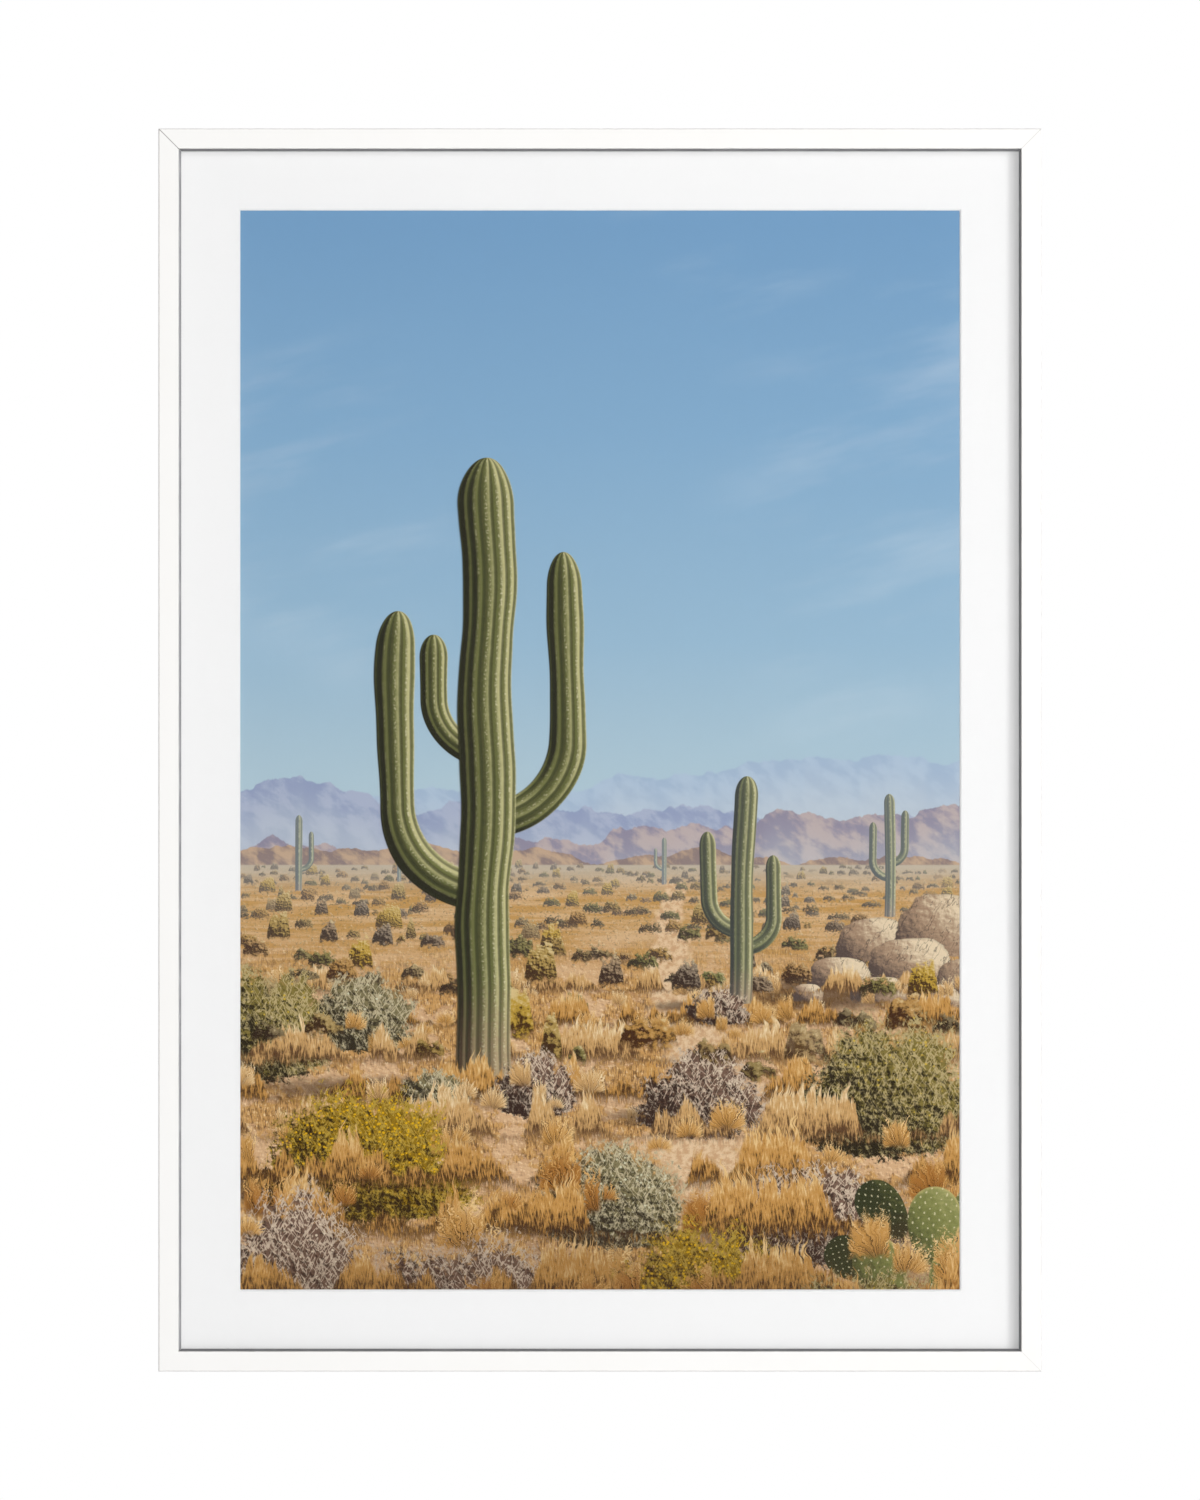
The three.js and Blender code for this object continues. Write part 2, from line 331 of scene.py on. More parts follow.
# %% [markdown]
# ## The rails
#
# A white frame of this kind is wood, sprayed with a satin lacquer. Only what shows is sprayed: the back
# and the rebate stay raw, and a little mist creeps round the edges. One material can do both. It
# measures how far a point lies in from the frame's outline and how far behind the front, and a mask made
# of those two distances parts paint from wood. Grain runs along a rail, so the upright rails and the
# level ones get the same finish with the coordinates swapped.

# %% The rails' lacquer and wood
LACQUER = paint("#E9E8E6")
LACQUER_SHADE = paint("#E2DED8")
MITRE_GREY = paint("#6E6C6A")
# The grey of the painted shade along the rails' outer edge
EDGE_SHADE_GREY = paint("#B5B2AE")
PINE_LIGHT = paint("#E2C9A0")
PINE_DARK = paint("#C39A66")
PINE_LINE = paint("#9A6F42")
HAIRLINE = (0.22 * MM, 0.6 * MM)  # where it starts to fade on either side of the mitre, and ends
EDGE_SHADE_BAND = (0.3 * MM, 1.1 * MM)  # the same, inwards from the frame's outline


def lacquered_wood(name, upright):
    f = Finish(name)
    x, y, z = f.place()
    inwards = f.smallest(x - LEFT, RIGHT - x, z - BOTTOM, TOP - z)
    along, across = (z, x) if upright else (x, z)

    # Growth lines are long and narrow: the grain is stretched twenty-five times along the rail
    grain_at = f.vector(along * 0.04, across, y)
    flow = f.noise(grain_at, 260, 3, 0.55)
    fibre = f.noise(f.vector(along * 0.02, across, y), 1500, 2, 0.6)
    lines = f.rise(f.size(f.maths("SINE", across * 1400 + y * 600 + flow * 22)), 0.55, 1.0)

    # Raw wood: the back face, and the rebate behind the lip
    ragged = f.noise(f.vector(x, y, z), 900, 2)
    past_mist = f.rise(inwards + (ragged - 0.5) * 1.6 * MM, 0.3 * MM, 1.6 * MM)
    back_face = f.rise(y, BACK - 0.45 * MM, BACK - 0.15 * MM) * past_mist
    rebate = (y > LIP_BACK - 0.2 * MM) * f.rise(inwards, STEM - 0.4 * MM, STEM - 0.1 * MM)
    raw = f.largest(back_face, rebate)

    wood = f.mix(PINE_LIGHT, PINE_DARK, f.rise(flow, 0.3, 0.75))
    wood = f.mix(wood, PINE_LINE, lines * 0.45)
    wood = f.mix(wood, PINE_LIGHT, f.rise(fibre, 0.5, 0.8) * 0.35)
    cloud = f.noise(f.vector(x, y, z), 14, 2)
    coat = f.mix(LACQUER, LACQUER_SHADE, f.rise(cloud, 0.35, 0.8) * 0.12)

    # A hairline where two rails meet, clearer at some corners than at others
    from_side, from_end = f.smallest(x - LEFT, RIGHT - x), f.smallest(z - BOTTOM, TOP - z)
    off_mitre = f.size(from_side - from_end)
    upper, right = z > CENTRE.z, x > CENTRE.x
    clearness = upper * (1 - right) * 0.9 + right * (0.2 + upper * 0.1)
    hairline = (1 - f.rise(off_mitre, *HAIRLINE)) * (1 - raw) * clearness
    coat = f.mix(coat, MITRE_GREY, hairline)

    # Painted shade along the front's outer edge: strongest on the left rail, then the bottom and the top,
    # weakest on the right
    thin = (1 - f.rise(inwards, *EDGE_SHADE_BAND)) * (y < FRONT + 1.2 * MM)
    edge_shade_strength = 0.9 - right * 0.75 if upright else 0.65 - upper * 0.23
    coat = f.mix(coat, EDGE_SHADE_GREY, thin * edge_shade_strength)

    peel = f.noise(f.vector(x, y, z), 420, 2, 0.45)
    coat_relief = peel * 0.35 + flow * 0.35 + fibre * 0.12
    relief = coat_relief * (1 - raw) + (fibre * 0.8 - lines * 0.5) * raw
    return f.surface({
        "Base Color": f.mix(coat, wood, raw),
        "Roughness": 0.4 + (peel - 0.5) * 0.12 + raw * 0.32,
        "Normal": f.bump(relief, 0.06 * MM, 0.6),
    })


upright_rail = lacquered_wood("white_lacquer_upright", True)
level_rail = lacquered_wood("white_lacquer_level", False)
for side in ("left", "right"):
    dress(f"rail_{side}", upright_rail)
for side in ("top", "bottom"):
    dress(f"rail_{side}", level_rail)

# %% [markdown]
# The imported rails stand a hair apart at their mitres. On the real frame glue fills the joint and lacquer
# bridges it, and only the corner at the top left has opened a little. So a thin plate with the
# moulding's own section is set into each gap. It ends just short of the back face, where the joint stays
# open as a fine line, and just short of the frame's corners, so that no edge of it stands out there.

# %% Fill the mitres
MITRE_GAP = SEAT + 0.04 * MM
LACQUER_SINKS = 0.03 * MM
OUTER_ROUND = 0.9 * MM
SIGHT_ROUND = 0.6 * MM
ROUND_STEPS = 5
SHORT_OF_BACK = 0.4 * MM


def rounded(inwards, depth, radius, start):
    """A quarter of a circle in the section, from an angle in degrees on."""
    angles = [math.radians(start + step * 90 / ROUND_STEPS) for step in range(ROUND_STEPS + 1)]
    radius_sunk = radius - LACQUER_SINKS
    return [(inwards + radius_sunk * math.cos(a), depth + radius_sunk * math.sin(a)) for a in angles]


def filler_section():
    """The moulding's outline: how far each of its corners lies inwards, and how deep behind the front."""
    lip_depth, end = LIP_BACK - FRONT, BACK - FRONT - SHORT_OF_BACK
    outer = rounded(OUTER_ROUND, OUTER_ROUND, OUTER_ROUND, 180)
    sight = rounded(RAIL_FACE - SIGHT_ROUND, SIGHT_ROUND, SIGHT_ROUND, 270)
    corners = [*outer, *sight, (RAIL_FACE, lip_depth), (STEM, lip_depth), (STEM, end), (0, end)]
    least, most = MITRE_GAP / 2, RAIL_FACE - MITRE_GAP / 2
    return [(min(max(inwards, least), most), depth) for inwards, depth in corners]


def mitre_filler():
    mesh = bmesh.new()
    section = filler_section()
    for x, z, to_x, to_z in CORNERS:
        across = Vector((-to_z, 0, to_x)).normalized() * MITRE_GAP / 2
        rims = [[
            mesh.verts.new(Vector((x + s * to_x, FRONT + depth, z + s * to_z)) + across * way)
            for s, depth in section] for way in (-1, 1)]
        for i in range(len(section)):
            j = (i + 1) % len(section)
            mesh.faces.new((rims[0][i], rims[0][j], rims[1][j], rims[1][i]))
        mesh.faces.new(rims[0][::-1])
        mesh.faces.new(rims[1])
    bmesh.ops.recalc_face_normals(mesh, faces=mesh.faces)
    return new_piece("mitre_filler", mesh, upright_rail)


filler = mitre_filler()
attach(filler, "root")

# %% [markdown]
# ## The bead
#
# Between the white lip and the mat runs a bead two millimetres wide, which draws the thin dark line round
# the mat. It has a dull metallic paint, a shade lighter where fingers and cloths have polished it. Its
# face leans in towards the picture, so the bead on the left looks into the light and is paler than the
# others. The lean is relief: a height that falls steadily inwards tilts the shading as a slope would.

# %% The bead's paint
BEAD_GREY = paint("#8C8C8F")
BEAD_LIGHT = paint("#A2A2A4")
BEAD_LEAN = 0.6


def bead_paint():
    f = Finish("bead_paint")
    x, y, z = f.place()
    place = f.vector(x, y, z)
    tooth = f.noise(place, 2600, 2, 0.6)
    rubbed = f.rise(f.noise(place, 40, 2), 0.45, 0.75)
    inwards = f.smallest(x - LEFT, RIGHT - x, z - BOTTOM, TOP - z)
    height = tooth * 0.02 * MM - inwards * BEAD_LEAN
    return f.surface({
        "Base Color": f.mix(BEAD_GREY, BEAD_LIGHT, rubbed * 0.6 + tooth * 0.2),
        "Metallic": 0.65,
        "Roughness": 0.5 - rubbed * 0.1,
        "Normal": f.bump(height, 1.0, 1.0),
    })


bead = bead_paint()
for side in ("left", "right", "top", "bottom"):
    dress(f"bead_{side}", bead)

# %% [markdown]
# ## The glazing
#
# The picture is behind a clear sheet with an anti-glare coat, so it mirrors far less than plain glass:
# a low IOR gives that. Cycles doesn't send lamp light through glass on its own. The usual cure is to let
# rays on their way to a lamp see a Transparent shader instead, which the Light Path node picks out.
# A trace of wiping shows only where a lamp glances off the sheet.

# %% The glazing's acrylic
GLAZING_IOR = 1.24


def coated_acrylic():
    f = Finish("coated_acrylic")
    x, y, z = f.place()
    wiped = f.noise(f.vector(x + z * 0.6, y, z * 0.25), 9, 3, 0.55)
    glass = f.node("BsdfPrincipled", {}, {
        "Base Color": grey(1.0),
        "Roughness": 0.015 + f.rise(wiped, 0.5, 0.8) * 0.03,
        "IOR": GLAZING_IOR,
        "Transmission Weight": 1.0,
    })
    to_lamp = f.node("LightPath", output="Is Shadow Ray")
    clear = f.node("BsdfTransparent")
    return f.finish(f.node("MixShader", {}, {0: to_lamp, 1: glass, 2: clear}))


dress("glazing", coated_acrylic())

# %% [markdown]
# ## The mat
#
# Mat board is a thick white card with a paper face. Its window is cut at 45 degrees, and the cut shows
# the core, which is whiter than the face and has no tooth. A mask round the window finds the bevel: it
# starts at the picture's edge and is as wide as the board is thick. The face has a soft, fibrous tooth
# with here and there a longer fibre, and no shine at all. The core is translucent and glows evenly, so the
# bevel is as bright as the face on all four sides. A height that rises with the depth gives that, because
# it turns the shading of the slope to the front.

# %% The mat's board
MAT_FACE = grey(0.87)
MAT_FIBRE = grey(0.83)
MAT_CORE = grey(0.92)
BEVEL_LEAN = 1.0
PAPER_FACE = 0.05 * MM
TOOTH_HEIGHT = 0.03 * MM


def mat_board():
    f = Finish("mat_board")
    x, y, z = f.place()
    place = f.vector(x, y, z)
    beyond = f.largest(
        f.size(x - CENTRE.x) - PICTURE_WIDTH / 2,
        f.size(z - CENTRE.z) - PICTURE_HEIGHT / 2,
    )
    depth = y - MAT_LOW.y
    on_bevel = (beyond < MAT_THICKNESS - 0.02 * MM) * (beyond > -0.5 * MM)
    edge = f.largest(on_bevel, depth > PAPER_FACE)
    tooth = f.noise(place, 1400, 3, 0.6)
    fibres = f.rise(f.noise(f.vector(x * 0.3, y, z), 900, 2, 0.7), 0.62, 0.72)
    face = f.mix(MAT_FACE, MAT_FIBRE, tooth * 0.25 + fibres * 0.5)
    relief = (tooth + fibres * 0.6) * (1 - edge * 0.7) * TOOTH_HEIGHT
    return f.surface({
        "Base Color": f.mix(face, MAT_CORE, edge),
        "Roughness": 0.92 - edge * 0.08,
        "Specular IOR Level": 0.25,
        "Normal": f.bump(relief + depth * BEVEL_LEAN, 1.0, 1.0),
    })


dress("mat", mat_board())

# %% [markdown]
# ## The picture
#
# The print shows a desert in the late morning. A photograph has depth because far things turn pale and
# blue and near ones are warm, sharp and full of detail, so the picture is painted in that order: sky,
# hazy ranges, the plain, rows of brush that grow as they come nearer, rocks, tall cacti, and dry grass
# in front. Each layer is a mask and a colour laid over what is there already.
#
# The painting works in centimetres on the paper: `u` runs from the middle to the right, and `v` up from
# the lower edge.

# %% The picture's measures
HORIZON = 36.0
PICTURE_W = PICTURE_WIDTH / CM
PICTURE_H = PICTURE_HEIGHT / CM
SUN = Vector((0.75, 0.66))

# %% [markdown]
# ### Stencils
#
# A bush is painted dozens of times with other numbers. A node group is a function for shaders: it is
# built once, and each use is one node with its own inputs. `Stencil` makes such a group. Its last step
# is always the same: a colour laid over the canvas where a mask is 1.

# %% A stencil
class Stencil(Graph):
    """A node group that paints one thing over the canvas."""

    def __init__(self, name, numbers, colours=""):
        self.tree = bpy.data.node_groups.new(name, "ShaderNodeTree")
        self.asks = numbers.split()
        for socket in ["canvas", *colours.split()]:
            self.tree.interface.new_socket(socket, in_out="INPUT", socket_type="NodeSocketColor")
        for socket in self.asks:
            self.tree.interface.new_socket(socket, in_out="INPUT", socket_type="NodeSocketFloat")
        given = self.tree.nodes.new("NodeGroupInput").outputs
        self.canvas = Value(self, given["canvas"])
        self.numbers = [Value(self, given[socket]) for socket in self.asks]
        self.colours = [Value(self, given[socket]) for socket in colours.split()]

    def result(self, colour, mask):
        painted = self.mix(self.canvas, colour, mask)
        self.tree.interface.new_socket("painted", in_out="OUTPUT", socket_type="NodeSocketColor")
        last = self.tree.nodes.new("NodeGroupOutput")
        self.tree.links.new(painted.socket, last.inputs["painted"])
        print(f"stencil {self.tree.name}: {len(self.tree.nodes)} nodes")
        return self


# %% [markdown]
# ### Noise for everything
#
# Fine noise is what makes a layer look like leaves, stone or stems. Stencils ask for shared noises by
# name, so that each is worked out once. A noise has a feature size in centimetres and a slant. Where
# light matters the same noise is read twice, the second time a little nearer to the sun: where the first
# is higher than the second, a surface would face the sun. That difference is the cheapest relief there
# is.

# %% The shared noises
NOISES = {
    # feature width and height, detail, roughness, slant in degrees, place
    "far": (0.22, 0.19, 3, 0.65, 0, (3, 5)),
    "mid": (0.5, 0.43, 4, 0.65, 0, (13, 7)),
    "near": (1.1, 0.95, 4, 0.65, 0, (29, 17)),
    "broad": (5.5, 2.4, 2, 0.5, 0, (7, 3)),
    "twigs_a": (0.55, 1.9, 2, 0.6, 28, (41, 3)),
    "twigs_b": (0.55, 1.9, 2, 0.6, -31, (5, 43)),
    "blades_a": (0.16, 1.5, 2, 0.6, 7, (11, 61)),
    "blades_b": (0.16, 1.5, 2, 0.6, -11, (67, 19)),
    "stubble": (0.14, 0.6, 2, 0.6, -3, (37, 29)),
    "strands": (34, 7, 6, 0.6, -14, (5, 9)),
    "cloud_room": (40, 26, 1, 0.5, 0, (50, 9)),
    "streaks": (9, 0.55, 4, 0.62, 0, (17, 23)),
    "spurs": (3.2, 1.5, 4, 0.6, 34, (31, 37)),
}
DOTS = (0.34, 0.3, 0, (11, 7))  # width, height, slant and place
SUNWARD_STEP = 0.3  # how much nearer to the sun a noise is read again, as a share of its feature
RELIEF_GAIN = 2.2

# %% [markdown]
# ### Layers and tiles
#
# A shader works out all of its nodes at every point, also those of a bush at the other end of the
# picture. So the layers are first listed, each with the box that it can reach, and the sheet is cut into
# tiles. Each tile gets a material of its own that holds only the layers which reach it. The joins can't
# be seen, because both sides work out the same colours there.

# %% A tile of the picture
BEYOND = 99  # further than the sheet reaches on any side
HALF_SHEET = 32  # from the middle to just past the sheet's sides
LAYERS = []


def lay(stencil, box, **numbers):
    """Lists a layer. The box is its left, right, lower and upper reach."""
    LAYERS.append((stencil, box, numbers))


class Tile(Finish):
    """The material of one tile of the picture."""

    def __init__(self, name, box):
        super().__init__(name)
        self.box = box
        self.point = self.node("TexCoord", output="Object")
        split = self.node("SeparateXYZ", {}, {0: self.point})
        self.known = {
            "u": (split - CENTRE.x) / CM,
            "v": split.out("Z") / CM - (CENTRE.z - PICTURE_HEIGHT / 2) / CM,
        }
        self.canvas = (0.5, 0.5, 0.5, 1.0)
        for stencil, reach, numbers in LAYERS:
            if self.meets(reach):
                self.paint(stencil, numbers)

    def meets(self, reach):
        left, right, low, high = self.box
        return reach[0] < right and reach[1] > left and reach[2] < high and reach[3] > low

    def mapped(self, wide, high, turn, at):
        return self.node("Mapping", {"vector_type": "TEXTURE"}, {
            "Vector": self.point,
            "Location": (at[0] * CM, 0, at[1] * CM),
            "Rotation": (0, math.radians(turn), 0),
            "Scale": (wide * CM, 1, high * CM),
        })

    def shared(self, name):
        """A shared noise, its relief, or one of the dots' two numbers."""
        if name not in self.known:
            if name.endswith("_relief"):
                wide, high, detail, roughness, turn, at = NOISES[name.removesuffix("_relief")]
                step = wide * SUNWARD_STEP
                nearer = (at[0] - SUN.x * step, at[1] - SUN.y * step)
                sunward = self.noise(self.mapped(wide, high, turn, nearer), 1.0, detail, roughness)
                self.known[name] = (self.shared(name.removesuffix("_relief")) - sunward) * RELIEF_GAIN
            elif name in ("dots", "dot_luck"):
                spots = self.node("TexVoronoi", {}, {"Vector": self.mapped(*DOTS), "Scale": 1})
                self.known["dots"] = spots
                self.known["dot_luck"] = self.node("SeparateColor", {}, {0: spots.out("Color")})
            else:
                wide, high, detail, roughness, turn, at = NOISES[name]
                self.known[name] = self.noise(self.mapped(wide, high, turn, at), 1.0, detail, roughness)
        return self.known[name]

    def paint(self, stencil, numbers):
        sockets = {"canvas": self.canvas}
        for name in stencil.asks:
            number = numbers.get(name, name)
            sockets[name] = self.shared(number) if isinstance(number, str) else number
        colours = {name: code for name, code in numbers.items() if isinstance(code, tuple)}
        self.canvas = self.node("Group", {"node_tree": stencil.tree}, {**sockets, **colours})


# %% [markdown]
# ### Sky
#
# A clear sky is deepest at the top and fades towards the horizon, where it turns to a pale, warm blue.
# A colour ramp holds the steps. A few strands of high cloud are noise, stretched wide and tilted a
# little, and laid on so thinly that they only break up the blue.

# %% Paint the sky
SKY = [
    (0.0, paint("#BACBD0")),
    (0.10, paint("#B0C7D2")),
    (0.34, paint("#98B9D0")),
    (0.66, paint("#84ABCB")),
    (1.0, paint("#749EC4")),
]


def sky_stencil():
    s = Stencil("sky", "v strands cloud_room")
    v, strands, cloud_room = s.numbers
    colour = s.node("ValToRGB", {"stops": SKY}, {0: (v - HORIZON) / (PICTURE_H - HORIZON)})
    thin_cloud = s.rise(strands, 0.46, 0.80) * s.rise(cloud_room, 0.42, 0.64)
    return s.result(s.mix(colour, paint("#DFE8EE"), thin_cloud * 0.3), 1.0)


lay(sky_stencil(), (-BEYOND, BEYOND, HORIZON - 1, BEYOND))

# %% [markdown]
# ### Ranges
#
# A ridge line is a one-dimensional noise that is read along `u`. Whatever lies under it is mountain.
# Slanting noise in two tones stands for spurs and gullies. The further back a range stands, the closer
# its two tones are to the sky's own colour, and the softer its edge is.

# %% Paint the ranges
RANGES = [
    # seed, height over the horizon, lean, relief, how often it rises, lit, shaded, haze, softness
    (3.7, 7.2, 0.06, 3.6, 0.045, "#AEC1D4", "#A2B6CD", 0.6, 0.10),
    (9.2, 4.6, -0.05, 3.4, 0.060, "#A8B1C7", "#929EBB", 0.5, 0.08),
    (17.9, 2.6, 0.07, 2.6, 0.090, "#B9AAA8", "#8F8A9C", 0.35, 0.06),
    (26.4, 0.9, -0.02, 1.3, 0.120, "#BFA48A", "#8D7C78", 0.2, 0.05),
]


def range_stencil():
    s = Stencil("range", "u v spurs seed height lean relief often haze softness", "lit shaded hazy")
    u, v, spurs, seed, height, lean, relief, often, haze, softness = s.numbers
    lit, shaded, hazy = s.colours
    broad = s.noise_along(u * often + seed, 1.0, 1, 0.5)
    sharp = s.noise_along(u * often * 4 + seed * 2, 1.0, 6, 0.6)
    ridge = height + u * lean + (broad - 0.5) * relief * 2 + (sharp - 0.5) * relief * 0.7
    depth = ridge - v
    slopes = s.rise(spurs + (sharp - 0.5) * 0.35, 0.40, 0.60)
    colour = s.mix(s.mix(shaded, lit, slopes), hazy, s.rise(depth, 0.0, 5.0) * haze)
    return s.result(colour, s.rise(depth, -softness, softness))


mountain_range = range_stencil()
for seed, height, lean, relief, often, lit, shaded, haze, softness in RANGES:
    top = HORIZON + height + abs(lean) * HALF_SHEET + relief
    lay(mountain_range, (-BEYOND, BEYOND, HORIZON - 1, top),
        seed=seed, height=HORIZON + height, lean=lean, relief=relief, often=often,
        haze=haze, softness=softness, lit=paint(lit), shaded=paint(shaded), hazy=paint("#C3CCD2"))

# %% [markdown]
# ### The plain
#
# Flat ground seen from eye height is squeezed together towards the horizon, so its patches are long and
# low there and open up in front. Straw, sand and the dark specks of far brush alternate in it, and a
# sandy wash winds through.

# %% Paint the plain
def plain_stencil():
    s = Stencil("plain", "v far mid mid_relief streaks")
    v, far, mid, mid_relief, streaks = s.numbers
    below = HORIZON - v
    colour = s.mix(paint("#D2AF84"), paint("#BE9355"), s.rise(streaks, 0.36, 0.6))
    colour = s.mix(colour, paint("#81724E"), s.rise(far, 0.50, 0.64) * s.rise(mid, 0.38, 0.6))
    colour = s.mix(colour, paint("#E2CEAC"), s.rise(mid_relief, 0.1, 0.5) * 0.5)
    colour = s.mix(paint("#BDB3A2"), colour, s.rise(below, -0.5, 3.0))
    return s.result(colour, s.rise(below, -0.05, 0.10))


def ground_stencil():
    s = Stencil("ground", "v broad near mid_relief near_relief stubble")
    v, broad, near, mid_relief, near_relief, stubble = s.numbers
    below = HORIZON - v
    sand = s.mix(paint("#D2AB82"), paint("#B58B5E"), s.rise(broad, 0.4, 0.62))
    sand = s.mix(sand, paint("#E8CBA2"), s.rise(mid_relief, 0.0, 0.45))
    sand = s.mix(sand, paint("#6E4E35"), s.rise(-mid_relief, 0.1, 0.5) * 0.65)
    straw = s.mix(paint("#6C4A2A"), paint("#C99A5A"), s.rise(stubble + near_relief * 0.25, 0.34, 0.56))
    straw = s.mix(straw, paint("#EBD1A2"), s.rise(stubble + mid_relief * 0.3, 0.56, 0.76))
    cover = s.rise(broad + (near - 0.5) * 0.9, 0.44, 0.52)
    return s.result(s.mix(sand, straw, cover * 0.85), s.rise(below, 4.0, 12.0))


def wash_stencil():
    s = Stencil("wash", "u v near mid mid_relief")
    u, v, near, mid, mid_relief = s.numbers
    below = HORIZON - v
    wander = s.noise_along(v * 0.09, 1.0, 1)
    bank = s.size(u - 6 - below * 0.1 - (wander - 0.5) * 16) / (0.6 + below * 0.17)
    sand = s.mix(paint("#DFC29C"), paint("#C9A27A"), s.rise(mid, 0.42, 0.6))
    sand = s.mix(sand, paint("#94704F"), s.rise(-mid_relief, 0.15, 0.6) * 0.6)
    return s.result(sand, (1 - s.rise(bank + (near - 0.5) * 1.4, 0.6, 1.1)) * s.rise(below, 0.8, 2))


lay(plain_stencil(), (-BEYOND, BEYOND, HORIZON - 13, HORIZON + 1))
lay(ground_stencil(), (-BEYOND, BEYOND, -BEYOND, HORIZON - 4))
lay(wash_stencil(), (-15, 25, -BEYOND, HORIZON - 0.8))

# %% [markdown]
# ### Brush
#
# Brush is painted in rows, from the far ones to the near ones, each a little lower on the paper and a
# little taller. Along a row, a one-dimensional Voronoi texture gives every bush its middle and three
# random numbers. A half circle over that middle is its outline, and noise frays the edge and breaks the
# inside into lit tufts and dark hollows.

# %% Paint the rows of brush
BRUSH = [
    (0.0, paint("#7C6D50")),
    (0.25, paint("#9C8150")),
    (0.45, paint("#74733F")),
    (0.62, paint("#B68A48")),
    (0.8, paint("#877A6C")),
    (1.0, paint("#BA9736")),
]


def brush_stencil():
    s = Stencil("brush", "u v grain relief foot tall seed haze")
    u, v, grain, relief, foot, tall, seed, haze = s.numbers
    along = u / tall + seed
    spots, luck, chance, hue, apart = s.cells(along, 0.85)
    offset = (along - spots.out("W")) / (0.36 + luck * 0.62)
    arch = s.maths("SQRT", s.largest(1 - offset * offset, 0.0)) * s.rise(apart, 0.0, 0.22)
    up = (v - foot) / tall + (s.maths("FRACT", chance * 7.3) - 0.5) * 1.3
    crown = arch * (0.25 + hue * luck * 0.9) + (grain - 0.5) * (0.2 + arch) * 1.2
    shape = s.rise(crown - up, 0.0, 0.1) * s.rise(up + (grain - 0.5) * 0.9, -0.2, 0.0)
    shape = shape * s.rise(arch, 0.05, 0.3) * s.rise(chance, 0.16, 0.24)

    light = up * 0.7 + offset * 0.25 + relief * 0.9 + (grain - 0.5) * 0.8 + 0.12
    base = s.node("ValToRGB", {"stops": BRUSH}, {0: hue})
    dark = s.tint(base, paint("#5F4A40"))
    colour = s.mix(dark, base, s.rise(light, 0.1, 0.5))
    colour = s.mix(colour, paint("#E6D2A2"), s.rise(light, 0.5, 1.0) * 0.6)
    return s.result(s.mix(colour, paint("#B9B4AA"), haze), shape)


brush = brush_stencil()


def brush_row(drop, seed):
    grain = "far" if drop < 6 else "mid" if drop < 14 else "near"
    foot, tall = HORIZON - drop, 0.55 + drop * 0.2
    lay(brush, (-BEYOND, BEYOND, foot - tall * 0.9, foot + tall * 2.4),
        grain=grain, relief=grain + "_relief", foot=foot, tall=tall, seed=seed,
        haze=0.5 * math.exp(-drop / 3.5))


# %% [markdown]
# ### Grass
#
# Dry grass is a fringe: its upper edge is a noise that changes very fast along `u`, over clumps that
# change slowly. Inside, slanting streaks run from dark roots to pale tips. Fringe behind fringe fills
# the ground.

# %% Paint a fringe of grass
def fringe_stencil():
    s = Stencil("fringe", "u v broad near blades_a blades_b foot tall seed", "root blade tip")
    u, v, broad, near, blades_a, blades_b, foot, tall, seed = s.numbers
    root, blade, tip = s.colours
    clumps = s.noise_along(u * 0.5 / tall + seed, 1.0, 2, 0.6)
    lean = (broad - 0.5) * 0.7
    spikes = s.noise_along((u + (v - foot) * lean) * 2.2 + seed * 3, 1.0, 3, 0.8)
    height = s.rise(clumps, 0.36, 0.66) * (0.3 + spikes * 1.3)
    up = (v - foot) / tall + (near - 0.5) * 0.4
    streak = s.largest(blades_a, blades_b)
    light = up * 0.75 + (streak - 0.55) * 2.0 + (near - 0.5) * 0.7 + 0.1
    colour = s.mix(root, blade, s.rise(light, 0.0, 0.45))
    colour = s.mix(colour, tip, s.rise(light, 0.45, 1.0))
    shape = s.rise(height - up, -0.02, 0.12) * s.rise(up + (streak - 0.55) * 0.8, -0.25, 0.05)
    return s.result(colour, shape)


# %% [markdown]
# A tussock's blades all start at one point, so they are painted in polar coordinates: noise over the
# angle gives each blade its length and tone, and the distance from the foot takes it from a dark root
# to a pale tip. Rows of tussocks use the same Voronoi cells as brush does.

# %% Paint the rows of tussocks
def tussock_stencil():
    s = Stencil("tussocks", "u v grain foot tall seed spread rarity", "root blade tip")
    u, v, grain, foot, tall, seed, spread, rarity = s.numbers
    root, blade, tip = s.colours
    along = u / (tall * spread) + seed
    spots, luck, chance, hue, apart = s.cells(along, 1.0)
    offset = (along - spots.out("W")) * spread
    up = (v - foot) / tall + (s.maths("FRACT", chance * 5.7) - 0.5) * 1.1 + 0.15
    angle = s.maths("ARCTAN2", offset, up) + (grain - 0.5) * 0.7
    reach = s.length(offset, up)
    blades = s.noise_along(angle * 6 + hue * 90, 1.0, 3, 0.8)
    fine = s.noise_along(angle * 17 + hue * 50, 1.0, 1, 0.6)
    length = (0.35 + luck * 0.6) * (0.4 + blades * 0.95) * s.maths("COSINE", angle * 0.6)
    share = reach / s.largest(length, 0.02)
    tips = 1 - s.rise(share + (0.5 - fine) * 0.9, 0.8, 1.0)
    shape = tips * s.rise(up + (grain - 0.5) * 0.3, 0.02, 0.14)
    shape = shape * s.rise(chance, rarity, rarity + 0.05) * s.rise(apart + (fine - 0.5) * 0.3, 0.0, 0.1)
    light = share * 0.7 + (fine - 0.5) * 1.7 + (blades - 0.5) * 0.9 + offset * 0.35 + 0.08
    colour = s.mix(root, blade, s.rise(light, 0.0, 0.5))
    colour = s.mix(colour, tip, s.rise(light, 0.5, 1.1))
    return s.result(colour, shape)


